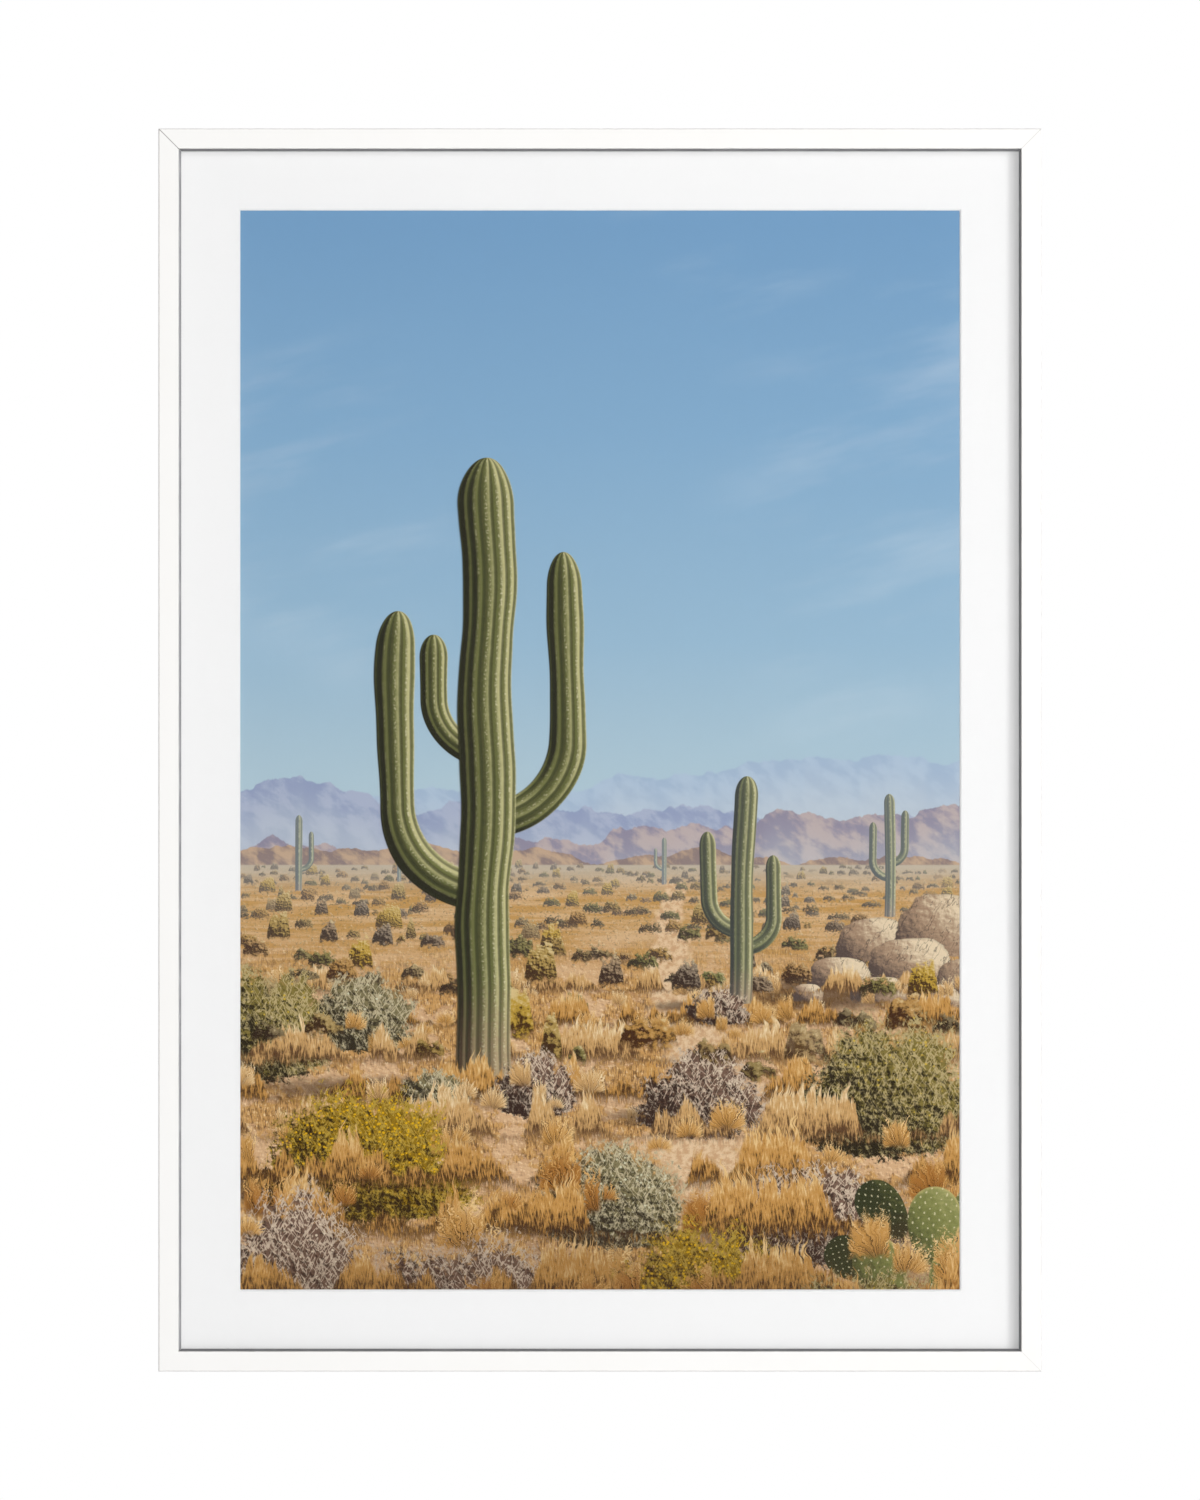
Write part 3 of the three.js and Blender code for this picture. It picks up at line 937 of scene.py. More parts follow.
fringe = fringe_stencil()
tussocks = tussock_stencil()
STRAW = palette("root blade tip", "#472C14", "#C18F4B", "#E5C48B")
PALE_STRAW = palette("root blade tip", "#5E4026", "#C99F66", "#EAD4AA")
RUST = palette("root blade tip", "#301A0B", "#A26C2E", "#D9AC68")
TUSSOCK_SPREAD = 0.55  # how far the tussocks of a row stand apart, as a share of their height


def grass_fringe(foot, tall, seed, colours):
    lay(fringe, (-BEYOND, BEYOND, foot - tall * 0.5, foot + tall * 1.6),
        foot=foot, tall=tall, seed=seed, **colours)


def tussock_row(foot, tall, seed, colours, rarity):
    grain = "mid" if tall < 3.2 else "near"
    lay(tussocks, (-BEYOND, BEYOND, foot - tall * 0.8, foot + tall * 1.6),
        grain=grain, foot=foot, tall=tall, seed=seed, spread=TUSSOCK_SPREAD, rarity=rarity, **colours)


# %% [markdown]
# ### Single bushes
#
# The nearest bushes are painted one by one. Their inside is a tangle: the lines where a stretched noise
# passes its middle value are thin and wander as twigs do, and two such noises slant against each other.
# Small Voronoi dots over the upper half are flowers.

# %% Paint a bush
def bush_stencil():
    s = Stencil("bush", "u v mid near near_relief mid_relief twigs_a twigs_b dots dot_luck "
                        "middle base wide tall bloom leaf", "dark leaves twig flower")
    u, v, mid, near, near_relief, mid_relief, twigs_a, twigs_b, dots, dot_luck = s.numbers[:10]
    middle, base, wide, tall, bloom, leaf = s.numbers[10:]
    dark, leaves, twig, flower = s.colours
    x = (u - middle) / wide
    y = (v - base) / tall
    lumps = s.noise_along(s.maths("ARCTAN2", x, y + 0.25) * 1.6 + middle, 1.0, 4, 0.65)
    away = s.length(x, s.largest(y, y * -3.0)) + (near - 0.5) * 0.6 + (lumps - 0.5) * 0.7
    away = away + (mid - 0.5) * 0.45
    off_a, off_b = s.size(twigs_a - 0.5), s.size(twigs_b - 0.53)
    lines = s.clamp(2 - s.rise(off_a, 0.008, 0.035) - s.rise(off_b, 0.008, 0.035))
    shape = 1 - s.rise(away - lines * 0.12, 0.84, 0.98)
    light = y * 0.5 + x * 0.28 + near_relief * 0.9 + mid_relief * 0.75 + 0.04
    colour = s.mix(dark, leaves, s.rise(light, -0.05, 0.55) * leaf)
    colour = s.mix(colour, twig, lines * s.rise(light, -0.35, 0.5) * 0.9)
    petals = (1 - s.rise(dots, 0.2, 0.42)) * s.rise(dot_luck + light * 0.5, 1 - bloom, 1.15 - bloom)
    colour = s.mix(colour, flower, petals * s.rise(y + near_relief, 0.0, 0.5))
    return s.result(colour, shape)


def shade_stencil():
    s = Stencil("shade", "u v near middle base wide tall strength")
    u, v, near, middle, base, wide, tall, strength = s.numbers
    away = s.length((u - middle) / wide, (v - base) / tall) + (near - 0.5) * 0.9
    return s.result(paint("#463020"), (1 - s.rise(away, 0.4, 1.1)) * strength)


bush = bush_stencil()
shade = shade_stencil()
BUSH_PARTS = "dark leaves twig flower"
OLIVE = palette(BUSH_PARTS, "#251D0D", "#83743A", "#BCAA7A", "#CDAE40")
YELLOW = palette(BUSH_PARTS, "#2E1D06", "#907014", "#B79A40", "#DDAE12")
TWIGGY = palette(BUSH_PARTS, "#34221A", "#836655", "#D2BEA6", "#DCCDB2")
SAGE = palette(BUSH_PARTS, "#30281A", "#857A56", "#C5B896", "#D0CDB0")


def plant_shade(middle, base, wide, tall, strength=0.75):
    lay(shade, (middle - wide * 1.6, middle + wide * 1.6, base - tall * 1.6, base + tall * 1.6),
        middle=middle, base=base, wide=wide, tall=tall, strength=strength)


def plant_bush(middle, base, wide, tall, colours, bloom=0.0, leaf=1.0):
    plant_shade(middle - wide * 0.35, base, wide * 1.3, tall * 0.22)
    lay(bush, (middle - wide * 1.6, middle + wide * 1.6, base - tall * 0.6, base + tall * 1.7),
        middle=middle, base=base, wide=wide, tall=tall, bloom=bloom, leaf=leaf, **colours)


# %% [markdown]
# ### Rocks
#
# A boulder is a squashed circle with a noisy edge. Inside it, the place across and up is also the
# direction that a round stone would face, which gives it light and shade. Dark cracks run where a
# slanting noise passes its middle.

# %% Paint a boulder
def boulder_stencil():
    s = Stencil("boulder", "u v broad near mid near_relief mid_relief twigs_a middle base wide tall haze")
    u, v, broad, near, mid, near_relief, mid_relief, twigs_a, middle, base, wide, tall, haze = s.numbers
    x = (u - middle) / wide + (near - 0.5) * 0.35
    y = (v - base) / tall + (broad - 0.5) * 0.4
    squared = s.size(x) ** 2.6 + s.size(y) ** 2.6
    facing = s.maths("SQRT", s.largest(1 - squared, 0.0))
    light = x * 0.5 + y * 0.62 + facing * 0.18 + near_relief * 0.3 + mid_relief * 0.35 - 0.05
    colour = s.mix(paint("#4A3A35"), paint("#A3866B"), s.rise(light, -0.35, 0.3))
    colour = s.mix(colour, paint("#E3CFAE"), s.rise(light, 0.2, 0.75))
    cracks = 1 - s.rise(s.size(twigs_a - 0.42), 0.004, 0.022)
    colour = s.mix(colour, paint("#3D2F2A"), cracks * 0.65 + s.rise(squared, 0.8, 1.0) * 0.25)
    shape = (1 - s.rise(squared, 0.93, 1.0)) * s.rise(v - base + (mid - 0.5) * tall * 0.8, -0.7, -0.4)
    return s.result(s.mix(colour, paint("#BDB5AA"), haze), shape)


boulder = boulder_stencil()
BOULDER_HAZE = 0.05


def place_boulder(middle, base, wide, tall):
    lay(boulder, (middle - wide * 1.3, middle + wide * 1.3, base - tall, base + tall * 1.4),
        middle=middle, base=base, wide=wide, tall=tall, haze=BOULDER_HAZE)


# %% [markdown]
# ### Cacti
#
# A tall columnar cactus is a set of fluted columns: a trunk, and arms that leave it level, turn in a
# quarter circle and climb. What matters is the place across a column, from -1 at its left side to 1 at
# its right. It gives the round shading, since the surface turns away towards both sides, and its arc
# sine gives the flutes, which crowd together there as they do on a real one.

# %% Paint a column
def column_stencil():
    s = Stencil("column", "u v far mid middle reach side elbow top girth flutes foot bark haze")
    u, v, far, mid, middle, reach, side, elbow, top, girth, flutes, foot, bark, haze = s.numbers
    lean = (s.noise_along(v * 0.035 + middle + reach, 1.0, 1) - 0.5) * girth * 1.4
    from_trunk = u - middle - lean
    dome = s.clamp((v - top) / (girth * 1.6) + 1)
    swell = 0.93 + (s.noise_along(v * 0.10 + reach * 3, 1.0, 1) - 0.5) * 0.3
    half = s.maths("SQRT", s.largest(1 - dome * dome, 0.0001)) * girth * swell
    bend = s.length(from_trunk, v - elbow)
    lower = v < elbow
    upright = (from_trunk - side * reach) / half
    bent = (bend - reach) * side / (girth * swell)
    across = upright + (bent - upright) * lower
    shape = s.rise(1 - s.size(across), 0.0, 0.08) * (v < top) * (v > foot + (mid - 0.5) * 0.9)
    shape = shape * (1 - lower * (from_trunk * side < 0))

    turn = s.maths("ARCSINE", s.smallest(s.largest(across, -0.99), 0.99))
    facing = s.maths("COSINE", turn)
    faces_right = 1 + (from_trunk * side / bend - 1) * lower
    faces_up = (v - elbow) * side / bend * lower
    light = across * (faces_right * SUN.x + faces_up * SUN.y) + facing * 0.3 + dome * dome * 0.3
    flute = turn * flutes
    light = light + s.maths("SINE", flute) * 0.3 + (mid - 0.5) * 0.4
    crest = s.maths("COSINE", flute)
    colour = s.mix(paint("#27261A"), paint("#6E7042"), s.rise(light, -0.5, 0.45))
    colour = s.mix(colour, paint("#C3BE8A"), s.rise(light, 0.35, 1.1))
    corky = (1 - s.rise(v + (mid - 0.5) * bark, foot, foot + bark)) * (bark > 0)
    colour = s.mix(colour, s.mix(paint("#4E3D2E"), paint("#B09A78"), s.rise(light, -0.5, 0.9)), corky)
    colour = s.mix(colour, paint("#262819"), s.rise(-crest, 0.2, 1.0) * 0.6)
    spines = s.rise(crest, 0.5, 0.95) * s.rise(far, 0.50, 0.62)
    colour = s.mix(colour, paint("#E0D6B2"), spines * s.rise(light, -0.5, 0.9) * 0.7)
    return s.result(s.mix(colour, paint("#AFBAC2"), haze), shape)


column = column_stencil()


def plant_cactus(middle, foot, top, girth, arms, flutes, haze=0.0):
    """Each arm has its reach, negative to the left, the heights of its elbow and its top, and its girth."""
    for reach, elbow, arm_top, arm_girth in arms:
        far_side = middle + reach + math.copysign(arm_girth * 2.2, reach)
        left, right = sorted((middle, far_side))
        lay(column, (left, right, elbow - abs(reach) - arm_girth * 1.5, arm_top), middle=middle,
            reach=abs(reach), side=math.copysign(1, reach), elbow=elbow, top=arm_top, girth=arm_girth,
            flutes=flutes * 0.7, foot=foot, bark=0.0, haze=haze)
    lay(column, (middle - girth * 2, middle + girth * 2, foot - 1, top), middle=middle,
        reach=0.0, side=0.0, elbow=-BEYOND, top=top, girth=girth,
        flutes=flutes, foot=foot, bark=(top - foot) * 0.2, haze=haze)


# %% [markdown]
# A prickly pear is a heap of flat, oval pads, each grown out of the rim of another at its own slant.
# Its spines sit in a regular pattern, which two crossed sine waves give.

# %% Paint a pad
def pad_stencil():
    s = Stencil("pad", "u v mid near_relief mid_relief middle base turn size tone")
    u, v, mid, near_relief, mid_relief, middle, base, turn, size, tone = s.numbers
    dx, dy = (u - middle) / size, (v - base) / size
    cosine, sine = s.maths("COSINE", turn), s.maths("SINE", turn)
    across = dx * cosine + dy * sine
    along = dy * cosine - dx * sine - 1.0
    squared = (across / (0.66 + along * 0.14)) ** 2 + along * along
    light = dx * 0.35 + (dy - 1) * 0.3 + near_relief * 0.3 + mid_relief * 0.2 + tone
    colour = s.mix(paint("#33361E"), paint("#7E8148"), s.rise(light, -0.5, 0.3))
    colour = s.mix(colour, paint("#BDB87C"), s.rise(light, 0.15, 0.9))
    rim = s.rise(squared, 0.8, 0.97)
    colour = s.mix(colour, s.mix(paint("#2E3420"), paint("#C9BC7A"), s.rise(light, -0.3, 0.4)), rim * 0.6)
    bent_a, bent_b = across + along + mid * 0.2, across - along - mid * 0.2
    knots = s.maths("SINE", bent_a * 12) * s.maths("SINE", bent_b * 12)
    colour = s.mix(colour, paint("#E2D8B0"), s.rise(s.size(knots), 0.88, 0.99) * 0.7)
    return s.result(colour, 1 - s.rise(squared, 0.93, 1.0))


pad = pad_stencil()


def plant_pear(pads):
    for middle, base, turn, size, tone in pads:
        plant_shade(middle - size * 0.5, base + size * 0.5, size * 0.9, size * 0.9, 0.4)
        lay(pad, (middle - size * 2.2, middle + size * 2.2, base - size * 0.5, base + size * 2.2),
            middle=middle, base=base, turn=math.radians(-turn), size=size, tone=tone)


# %% [markdown]
# ### The view
#
# Now the landscape is put together, from the horizon to the foreground. `drop` is how far below the
# horizon something stands, and it settles the size of everything that grows there.

# %% Paint the far ground
random.seed(11)


def next_seed():
    return random.uniform(3, 60)


for drop in (0.6, 1.1, 1.8, 2.6):
    brush_row(drop, next_seed())
plant_cactus(-25.5, HORIZON - 2.2, HORIZON + 4.2, 0.34, [(1.0, 36.6, 38.8, 0.24)], 5, 0.34)
plant_cactus(5.4, HORIZON - 1.6, HORIZON + 2.3, 0.24, [(-0.7, 36.3, 37.4, 0.17)], 5, 0.42)
plant_cactus(-17.0, HORIZON - 1.5, HORIZON + 1.6, 0.2, [], 5, 0.45)
for drop in (3.6, 4.7, 5.9):
    brush_row(drop, next_seed())
plant_cactus(24.5, HORIZON - 4.4, HORIZON + 6.0, 0.52,
             [(-1.5, 36.4, 39.6, 0.38), (1.3, 37.4, 40.6, 0.36)], 7, 0.24)
brush_row(7.2, next_seed())

# %% [markdown]
# A heap of boulders lies at the right of the middle ground, and a cactus of middle size stands beside it.
# Nothing is cut out to fit the ground: grass that is laid on later hides the feet.

# %% Paint the middle ground
ROCKS = [
    # middle, base, half width, half height
    (23.4, 28.2, 3.4, 3.4), (29.5, 28.6, 4.6, 5.0), (26.3, 26.8, 3.6, 3.0), (20.3, 26.2, 2.7, 2.0),
    (31.5, 25.6, 3.2, 2.6), (23.6, 25.0, 2.4, 1.5), (28.3, 24.5, 2.2, 1.4), (17.6, 25.0, 1.3, 0.9),
]
brush_row(8.8, next_seed())
plant_shade(19.5, 25.0, 9.5, 1.8, 0.8)
for middle, base, wide, tall in ROCKS:
    place_boulder(middle, base, wide, tall)
grass_fringe(25.4, 2.0, next_seed(), PALE_STRAW)
tussock_row(24.8, 2.4, next_seed(), PALE_STRAW, rarity=0.35)
brush_row(11.2, next_seed())
plant_shade(8.0, 24.0, 5.2, 0.6)
plant_cactus(12.0, 24.2, 43.5, 1.1, [(-2.8, 33.2, 38.8, 0.78), (2.6, 31.6, 36.8, 0.74)], 9, 0.08)
grass_fringe(22.6, 2.6, next_seed(), STRAW)
plant_bush(10.0, 23.2, 2.6, 2.4, TWIGGY, leaf=0.8)
plant_bush(-20.5, 21.6, 5.4, 4.9, SAGE, leaf=0.9)
tussock_row(21.6, 3.0, next_seed(), STRAW, rarity=0.3)
plant_bush(-28.5, 20.0, 5.6, 7.4, OLIVE)
grass_fringe(19.6, 3.2, next_seed(), PALE_STRAW)
brush_row(15.6, next_seed())

# %% [markdown]
# One large cactus, left of the middle, carries the picture. Its shade falls to the left and away from the
# sun, and low bushes stand round its foot.

# %% Paint the large cactus
plant_shade(-19.0, 17.0, 12.5, 1.3)
plant_cactus(-9.5, 17.0, 70.5, 2.6,
             [(-7.4, 41.0, 57.5, 1.8), (6.7, 46.5, 62.5, 1.7), (-4.6, 50.0, 55.5, 1.3)], 15)
grass_fringe(16.4, 3.6, next_seed(), STRAW)
plant_bush(-5.4, 15.9, 3.6, 4.2, TWIGGY, leaf=0.8)
plant_bush(-14.0, 16.0, 3.0, 2.6, SAGE, leaf=0.9)
tussock_row(15.6, 3.6, next_seed(), PALE_STRAW, rarity=0.35)
plant_bush(8.5, 14.6, 5.6, 5.4, TWIGGY, leaf=0.75)
plant_bush(24.5, 14.0, 7.6, 9.2, OLIVE)
grass_fringe(13.2, 4.0, next_seed(), PALE_STRAW)

# %% [markdown]
# In front everything is large, close and warm: tussocks, flowering bushes and a prickly pear, with the
# nearest cut off by the picture's lower edge. A last broad shade darkens the bottom.

# %% Paint the foreground
tussock_row(11.6, 4.4, next_seed(), STRAW, rarity=0.35)
plant_bush(-20.0, 8.2, 9.6, 8.4, YELLOW, bloom=0.66)
grass_fringe(9.2, 4.6, next_seed(), STRAW)
plant_bush(1.0, 5.6, 6.4, 7.0, SAGE, bloom=0.15, leaf=0.9)
tussock_row(7.4, 5.2, next_seed(), RUST, rarity=0.4)
plant_bush(18.5, 4.0, 8.2, 6.6, TWIGGY, leaf=0.75)
grass_fringe(5.0, 5.2, next_seed(), STRAW)
plant_bush(-28.0, -3.5, 10.4, 11.0, TWIGGY, leaf=0.7)
plant_pear([
    (25.8, 4.4, -38, 2.9, -0.25), (30.0, 4.0, 34, 3.0, -0.15), (23.9, 1.2, -62, 2.7, -0.2),
    (27.9, 2.0, 6, 3.4, 0.05), (25.0, -1.8, -20, 3.3, 0.12), (29.2, -2.6, 14, 3.4, 0.1),
])
tussock_row(2.4, 5.8, next_seed(), STRAW, rarity=0.35)
plant_bush(8.5, -4.5, 10.2, 9.6, YELLOW, bloom=0.7)
plant_bush(-10.5, -5.5, 10.5, 9.5, TWIGGY, leaf=0.75)
grass_fringe(-0.6, 4.6, next_seed(), STRAW)
plant_bush(23.5, -6.0, 8.6, 7.4, OLIVE)
tussock_row(-2.6, 5.6, next_seed(), RUST, rarity=0.45)
grass_fringe(-3.8, 5.0, next_seed(), RUST)
plant_shade(-4.0, -1.5, 42.0, 8.0, 0.36)
print("layers:", len(LAYERS))

# %% [markdown]
# The tiles are low where much is going on and tall in the open sky. Edges that suit the layers' own boxes
# were found by trying, and they save a quarter of the work.

# %% Cut the picture into tiles
MARGIN = PRINT_UNDER_MAT / CM
TILE_EDGES_U = (-PICTURE_W / 2 - MARGIN, -15.0, 1.0, 17.5, PICTURE_W / 2 + MARGIN)
TILE_EDGES_V = (-MARGIN, 8.0, 16.0, 21.5, 27.0, 30.5, 34.5, 39.0, 43.5, 49.0, 57.5, 70.5,
                PICTURE_H + MARGIN)
TILES = {}
for column_at, (left, right) in enumerate(zip(TILE_EDGES_U, TILE_EDGES_U[1:])):
    for row_at, (low, high) in enumerate(zip(TILE_EDGES_V, TILE_EDGES_V[1:])):
        TILES[column_at, row_at] = Tile(f"desert_print_{column_at}{row_at}", (left, right, low, high))
print("tiles:", len(TILES))

# %% [markdown]
# ### Paper
#
# The picture is printed on a lustre paper. Its pearl-like surface is a very fine, shallow pebble, which
# spreads a highlight without dulling the colours. Photographic grain is a trace of fine noise in the
# brightness.

# %% Finish the paper
PRINT_GAIN = 0.93


def lustre_paper(tile):
    u, v = tile.shared("u"), tile.shared("v")
    grain = tile.noise(tile.vector(u, v, 2.0), 14, 2, 0.6)
    brightness = tile.mix(grey(PRINT_GAIN * 0.9), grey(PRINT_GAIN * 1.1), grain)
    printed = tile.tint(tile.canvas, brightness)
    pebble = tile.noise(tile.vector(u, v, 6.0), 22, 1)
    return tile.surface({
        "Base Color": printed,
        "Roughness": 0.42 + (pebble - 0.5) * 0.1,
        "Specular IOR Level": 0.2,
        "Normal": tile.bump(pebble, 0.02 * MM, 0.4),
    })


def paper_back():
    f = Finish("paper_back")
    fibres = f.noise(f.vector(*f.place()), 1600, 3, 0.6)
    return f.surface({
        "Base Color": f.mix(grey(0.8), grey(0.72), fibres),
        "Roughness": 0.8 + (fibres - 0.5) * 0.1,
        "Normal": f.bump(fibres, 0.02 * MM, 0.4),
    })


# %% [markdown]
# The sheet itself is modelled here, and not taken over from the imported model, because its front is cut
# into the tiles. It also gets a UV map. An exported model carries the picture as an image, and a map
# that gives the front nearly all of that image keeps the picture sharp. The back and the thin edges
# share the strip that is left.

# %% Model the sheet
# The areas of the map: left, bottom, width and height
FRONT_MAP = (0.002, 0.002, 0.96, 0.996)
BACK_MAP = (0.966, 0.01, 0.03, 0.58)
RIM_MAP = (0.966, 0.62, 0.03, 0.37)


def print_sheet():
    mesh = bmesh.new()
    uv_map = mesh.loops.layers.uv.new("OFBake")
    columns, rows = len(TILE_EDGES_U), len(TILE_EDGES_V)

    def grid(y):
        return [[
            mesh.verts.new((CENTRE.x + u * CM, y, CENTRE.z + (v - PICTURE_H / 2) * CM))
            for v in TILE_EDGES_V] for u in TILE_EDGES_U]

    def share(edges, at):
        return (edges[at] - edges[0]) / (edges[-1] - edges[0])

    def add_face(corners, material, area, box):
        """box is the face's left, right, lower and upper share of its area of the map."""
        face = mesh.faces.new(corners)
        face.material_index = material
        left, bottom, width, height = area
        places = ((box[0], box[2]), (box[1], box[2]), (box[1], box[3]), (box[0], box[3]))
        for loop, (x, y) in zip(face.loops, places):
            loop[uv_map].uv = (left + x * width, bottom + y * height)

    front, back = grid(PRINT_LOW.y), grid(PRINT_HIGH.y)
    plain = len(TILES)
    for material, (i, j) in enumerate(TILES):
        box = (share(TILE_EDGES_U, i), share(TILE_EDGES_U, i + 1),
               share(TILE_EDGES_V, j), share(TILE_EDGES_V, j + 1))
        corners = (front[i][j], front[i + 1][j], front[i + 1][j + 1], front[i][j + 1])
        add_face(corners, material, FRONT_MAP, box)
        corners = (back[i + 1][j], back[i][j], back[i][j + 1], back[i + 1][j + 1])
        add_face(corners, plain, BACK_MAP, box)

    # The rim runs round the sheet, corner after corner
    around = [(i, 0) for i in range(columns - 1)]
    around += [(columns - 1, j) for j in range(rows - 1)]
    around += [(i, rows - 1) for i in range(columns - 1, 0, -1)]
    around += [(0, j) for j in range(rows - 1, 0, -1)]
    for at, (i, j) in enumerate(around):
        k, m = around[(at + 1) % len(around)]
        box = (0, 1, at / len(around), (at + 0.9) / len(around))
        add_face((back[i][j], back[k][m], front[k][m], front[i][j]), plain, RIM_MAP, box)

    return new_piece("print_sheet", mesh, *[lustre_paper(tile) for tile in TILES.values()], paper_back())


sheet = print_sheet()
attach(sheet, "root")
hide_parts("print")

# %% [markdown]
# ## The mounting board
#
# The print lies on a board of plastic foam between two sheets of white paper. Little of it ever shows,
# only its edge in the rebate, where the foam is a mass of small bubbles.

# %% The mounting board's foam and paper
def foam_board():
    f = Finish("foam_board")
    x, y, z = f.place()
    low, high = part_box("mount_board")
    inside = f.rise(f.smallest(y - low.y, high.y - y), 0.3 * MM, 0.4 * MM)
    sockets = {"Vector": f.vector(x, y, z), "Scale": 1100.0}
    bubbles = f.node("TexVoronoi", {}, sockets)
    fibres = f.noise(f.vector(x, y, z), 1500, 3)
    foam = f.mix(grey(0.86), grey(0.7), f.rise(bubbles, 0.3, 0.8))
    faces = f.mix(grey(0.83), grey(0.78), fibres)
    return f.surface({
        "Base Color": f.mix(faces, foam, inside),
        "Roughness": 0.85 - inside * 0.2,
        "Normal": f.bump(fibres * (1 - inside) * 0.3 + bubbles * inside, 0.1 * MM, 0.5),
    })


dress("mount_board", foam_board())

# %% [markdown]
# ## The back board
#
# Hardboard is wood pulp pressed flat under heat. The press leaves a smooth brown skin with fibres lying
# in every direction, flecks of bark, and faint clouds where the pulp was denser. A few scuffs from
# handling are paler than the skin. Short fibres come from noise that is stretched three ways.

# %% The back board's hardboard
PULP = paint("#8A6646")
PULP_DARK = paint("#74543A")
PULP_LIGHT = paint("#A98660")
BARK = paint("#3E2A1B")


def hardboard():
    f = Finish("hardboard")
    x, y, z = f.place()
    place = f.vector(x, y, z)
    clouds = f.noise(place, 24, 3, 0.5)
    level = f.noise(f.vector(x * 0.3, y, z), 560, 4, 0.7)
    upright = f.noise(f.vector(x, y, z * 0.3), 520, 4, 0.7)
    across = f.noise(f.vector((x + z) * 0.25, y, x - z), 430, 3, 0.65)
    flecks = f.rise(f.noise(place, 300, 2, 0.5), 0.68, 0.74)
    scuffs = f.rise(f.noise(f.vector(x * 0.4 + z * 0.5, y, z * 2.2), 26, 5, 0.7), 0.66, 0.76)
    skin = f.mix(PULP_DARK, PULP, 0.45 + (clouds - 0.5) * 0.9)
    skin = f.mix(skin, PULP_LIGHT, f.rise(level, 0.48, 0.78) * 0.75)
    skin = f.mix(skin, PULP_DARK, f.rise(upright, 0.5, 0.78) * 0.7)
    skin = f.mix(skin, PULP_LIGHT, f.rise(across, 0.55, 0.72) * 0.4)
    skin = f.mix(skin, BARK, flecks * 0.75)
    skin = f.mix(skin, PULP_LIGHT, scuffs * 0.25)
    return f.surface({
        "Base Color": skin,
        "Roughness": 0.6 + (clouds - 0.5) * 0.15 + scuffs * 0.1,
        "Specular IOR Level": 0.4,
        "Normal": f.bump(level * 0.5 + upright * 0.4 - flecks * 0.4, 0.05 * MM, 0.6),
    })


dress("back_board", hardboard())

# %% [markdown]
# ## Steel fittings
#
# The tabs and hangers are stamped from zinc-plated strip. The plating is a soft silver with faint warm
# and cool patches, fine scratches along the strip from rolling, and a duller bloom in places. Real
# stampings have edges that catch the light, so a narrow bevel goes on as a modifier, which leaves the
# solid underneath as it is.

# %% The fittings' zinc
FITTING_BEVEL = 0.12 * MM


def zinc(name, along_x):
    f = Finish(name)
    x, y, z = f.place()
    place = f.vector(x, y, z)
    rolled = f.vector(x * 0.08, y, z) if along_x else f.vector(x, y, z * 0.08)
    scratches = f.noise(rolled, 3800, 2, 0.6)
    bloom = f.noise(place, 160, 3, 0.6)
    plating = f.mix(paint("#C9CCD0"), paint("#CFC9B8"), f.rise(bloom, 0.4, 0.7) * 0.6)
    plating = f.mix(plating, paint("#A4A8AD"), f.rise(scratches, 0.55, 0.8) * 0.5)
    return f.surface({
        "Base Color": plating,
        "Metallic": 1.0,
        "Roughness": 0.3 + f.rise(bloom, 0.3, 0.75) * 0.16 + (scratches - 0.5) * 0.12,
        "Normal": f.bump(scratches, 0.02 * MM, 0.5),
    })


zinc_level = zinc("zinc_level", True)
zinc_upright = zinc("zinc_upright", False)
for name in sorted(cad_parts):
    if name.startswith(("tab_left", "tab_right", "hanger")):
        dress(name, zinc_level)
        soften(name, FITTING_BEVEL)
    elif name.startswith("tab_"):
        dress(name, zinc_upright)
        soften(name, FITTING_BEVEL)

# %% [markdown]
# A rivet's head is turned bright as it is set, which leaves fine rings round its middle. The rings need
# each rivet's own middle, so every rivet gets a finish made from its box.

# %% The rivets' turned heads
def turned_steel(name):
    low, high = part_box(name)
    middle = (low + high) / 2
    f = Finish(f"turned_{name}")
    x, y, z = f.place()
    from_middle = f.length(x - middle.x, z - middle.z)
    rings = f.noise_along(from_middle, 9000, 2, 0.6)
    dulled = f.noise(f.vector(x, y, z), 700, 2)
    return f.surface({
        "Base Color": f.mix(paint("#D2D2D0"), paint("#A9AAAC"), rings * 0.5 + dulled * 0.3),
        "Metallic": 1.0,
        "Roughness": 0.22 + rings * 0.16 + dulled * 0.1,
        "Normal": f.bump(rings, 0.02 * MM, 0.5),
    })


for name in sorted(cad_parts):
    if name.startswith("rivet"):
        dress(name, turned_steel(name))
        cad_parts[name].data.shade_smooth()

# %% [markdown]
# ## Corner nails
#
# Each mitre is glued, and drawn tight with two nails of folded steel that are pressed in across the
# joint from behind. From outside only their top edge shows, a small V whose wings reach into both rails.
# They are built in mesh code: a strip of the V's outline, given a thickness, and pushed down into the
# wood. Their feet taper to the cutting edge that let them in.

# %% Model the corner nails
NAIL_WING = 3.4 * MM
NAIL_DEPTH = 7 * MM
NAIL_STEEL = 0.5 * MM
NAIL_CURL = 0.9 * MM
NAIL_PROUD = 0.04 * MM
NAIL_FOOT = 0.3  # the foot's thickness, as a share of the top's
NAIL_PLACES = (0.26, 0.64)  # shares of the mitre, from the frame's corner inwards


def nail_outline():
    """Half of the V's line in its own plane, from the fold to the curled tip of one wing."""
    points = [(0.0, 0.0)]
    for share in (0.35, 0.7, 1.0):
        points.append((NAIL_WING * share, NAIL_WING * share * 0.9))
    tip_x, tip_y = points[-1]
    points.append((tip_x + NAIL_CURL * 0.25, tip_y + NAIL_CURL * 0.8))
    points.append((tip_x - NAIL_CURL * 0.35, tip_y + NAIL_CURL * 1.25))
    return points


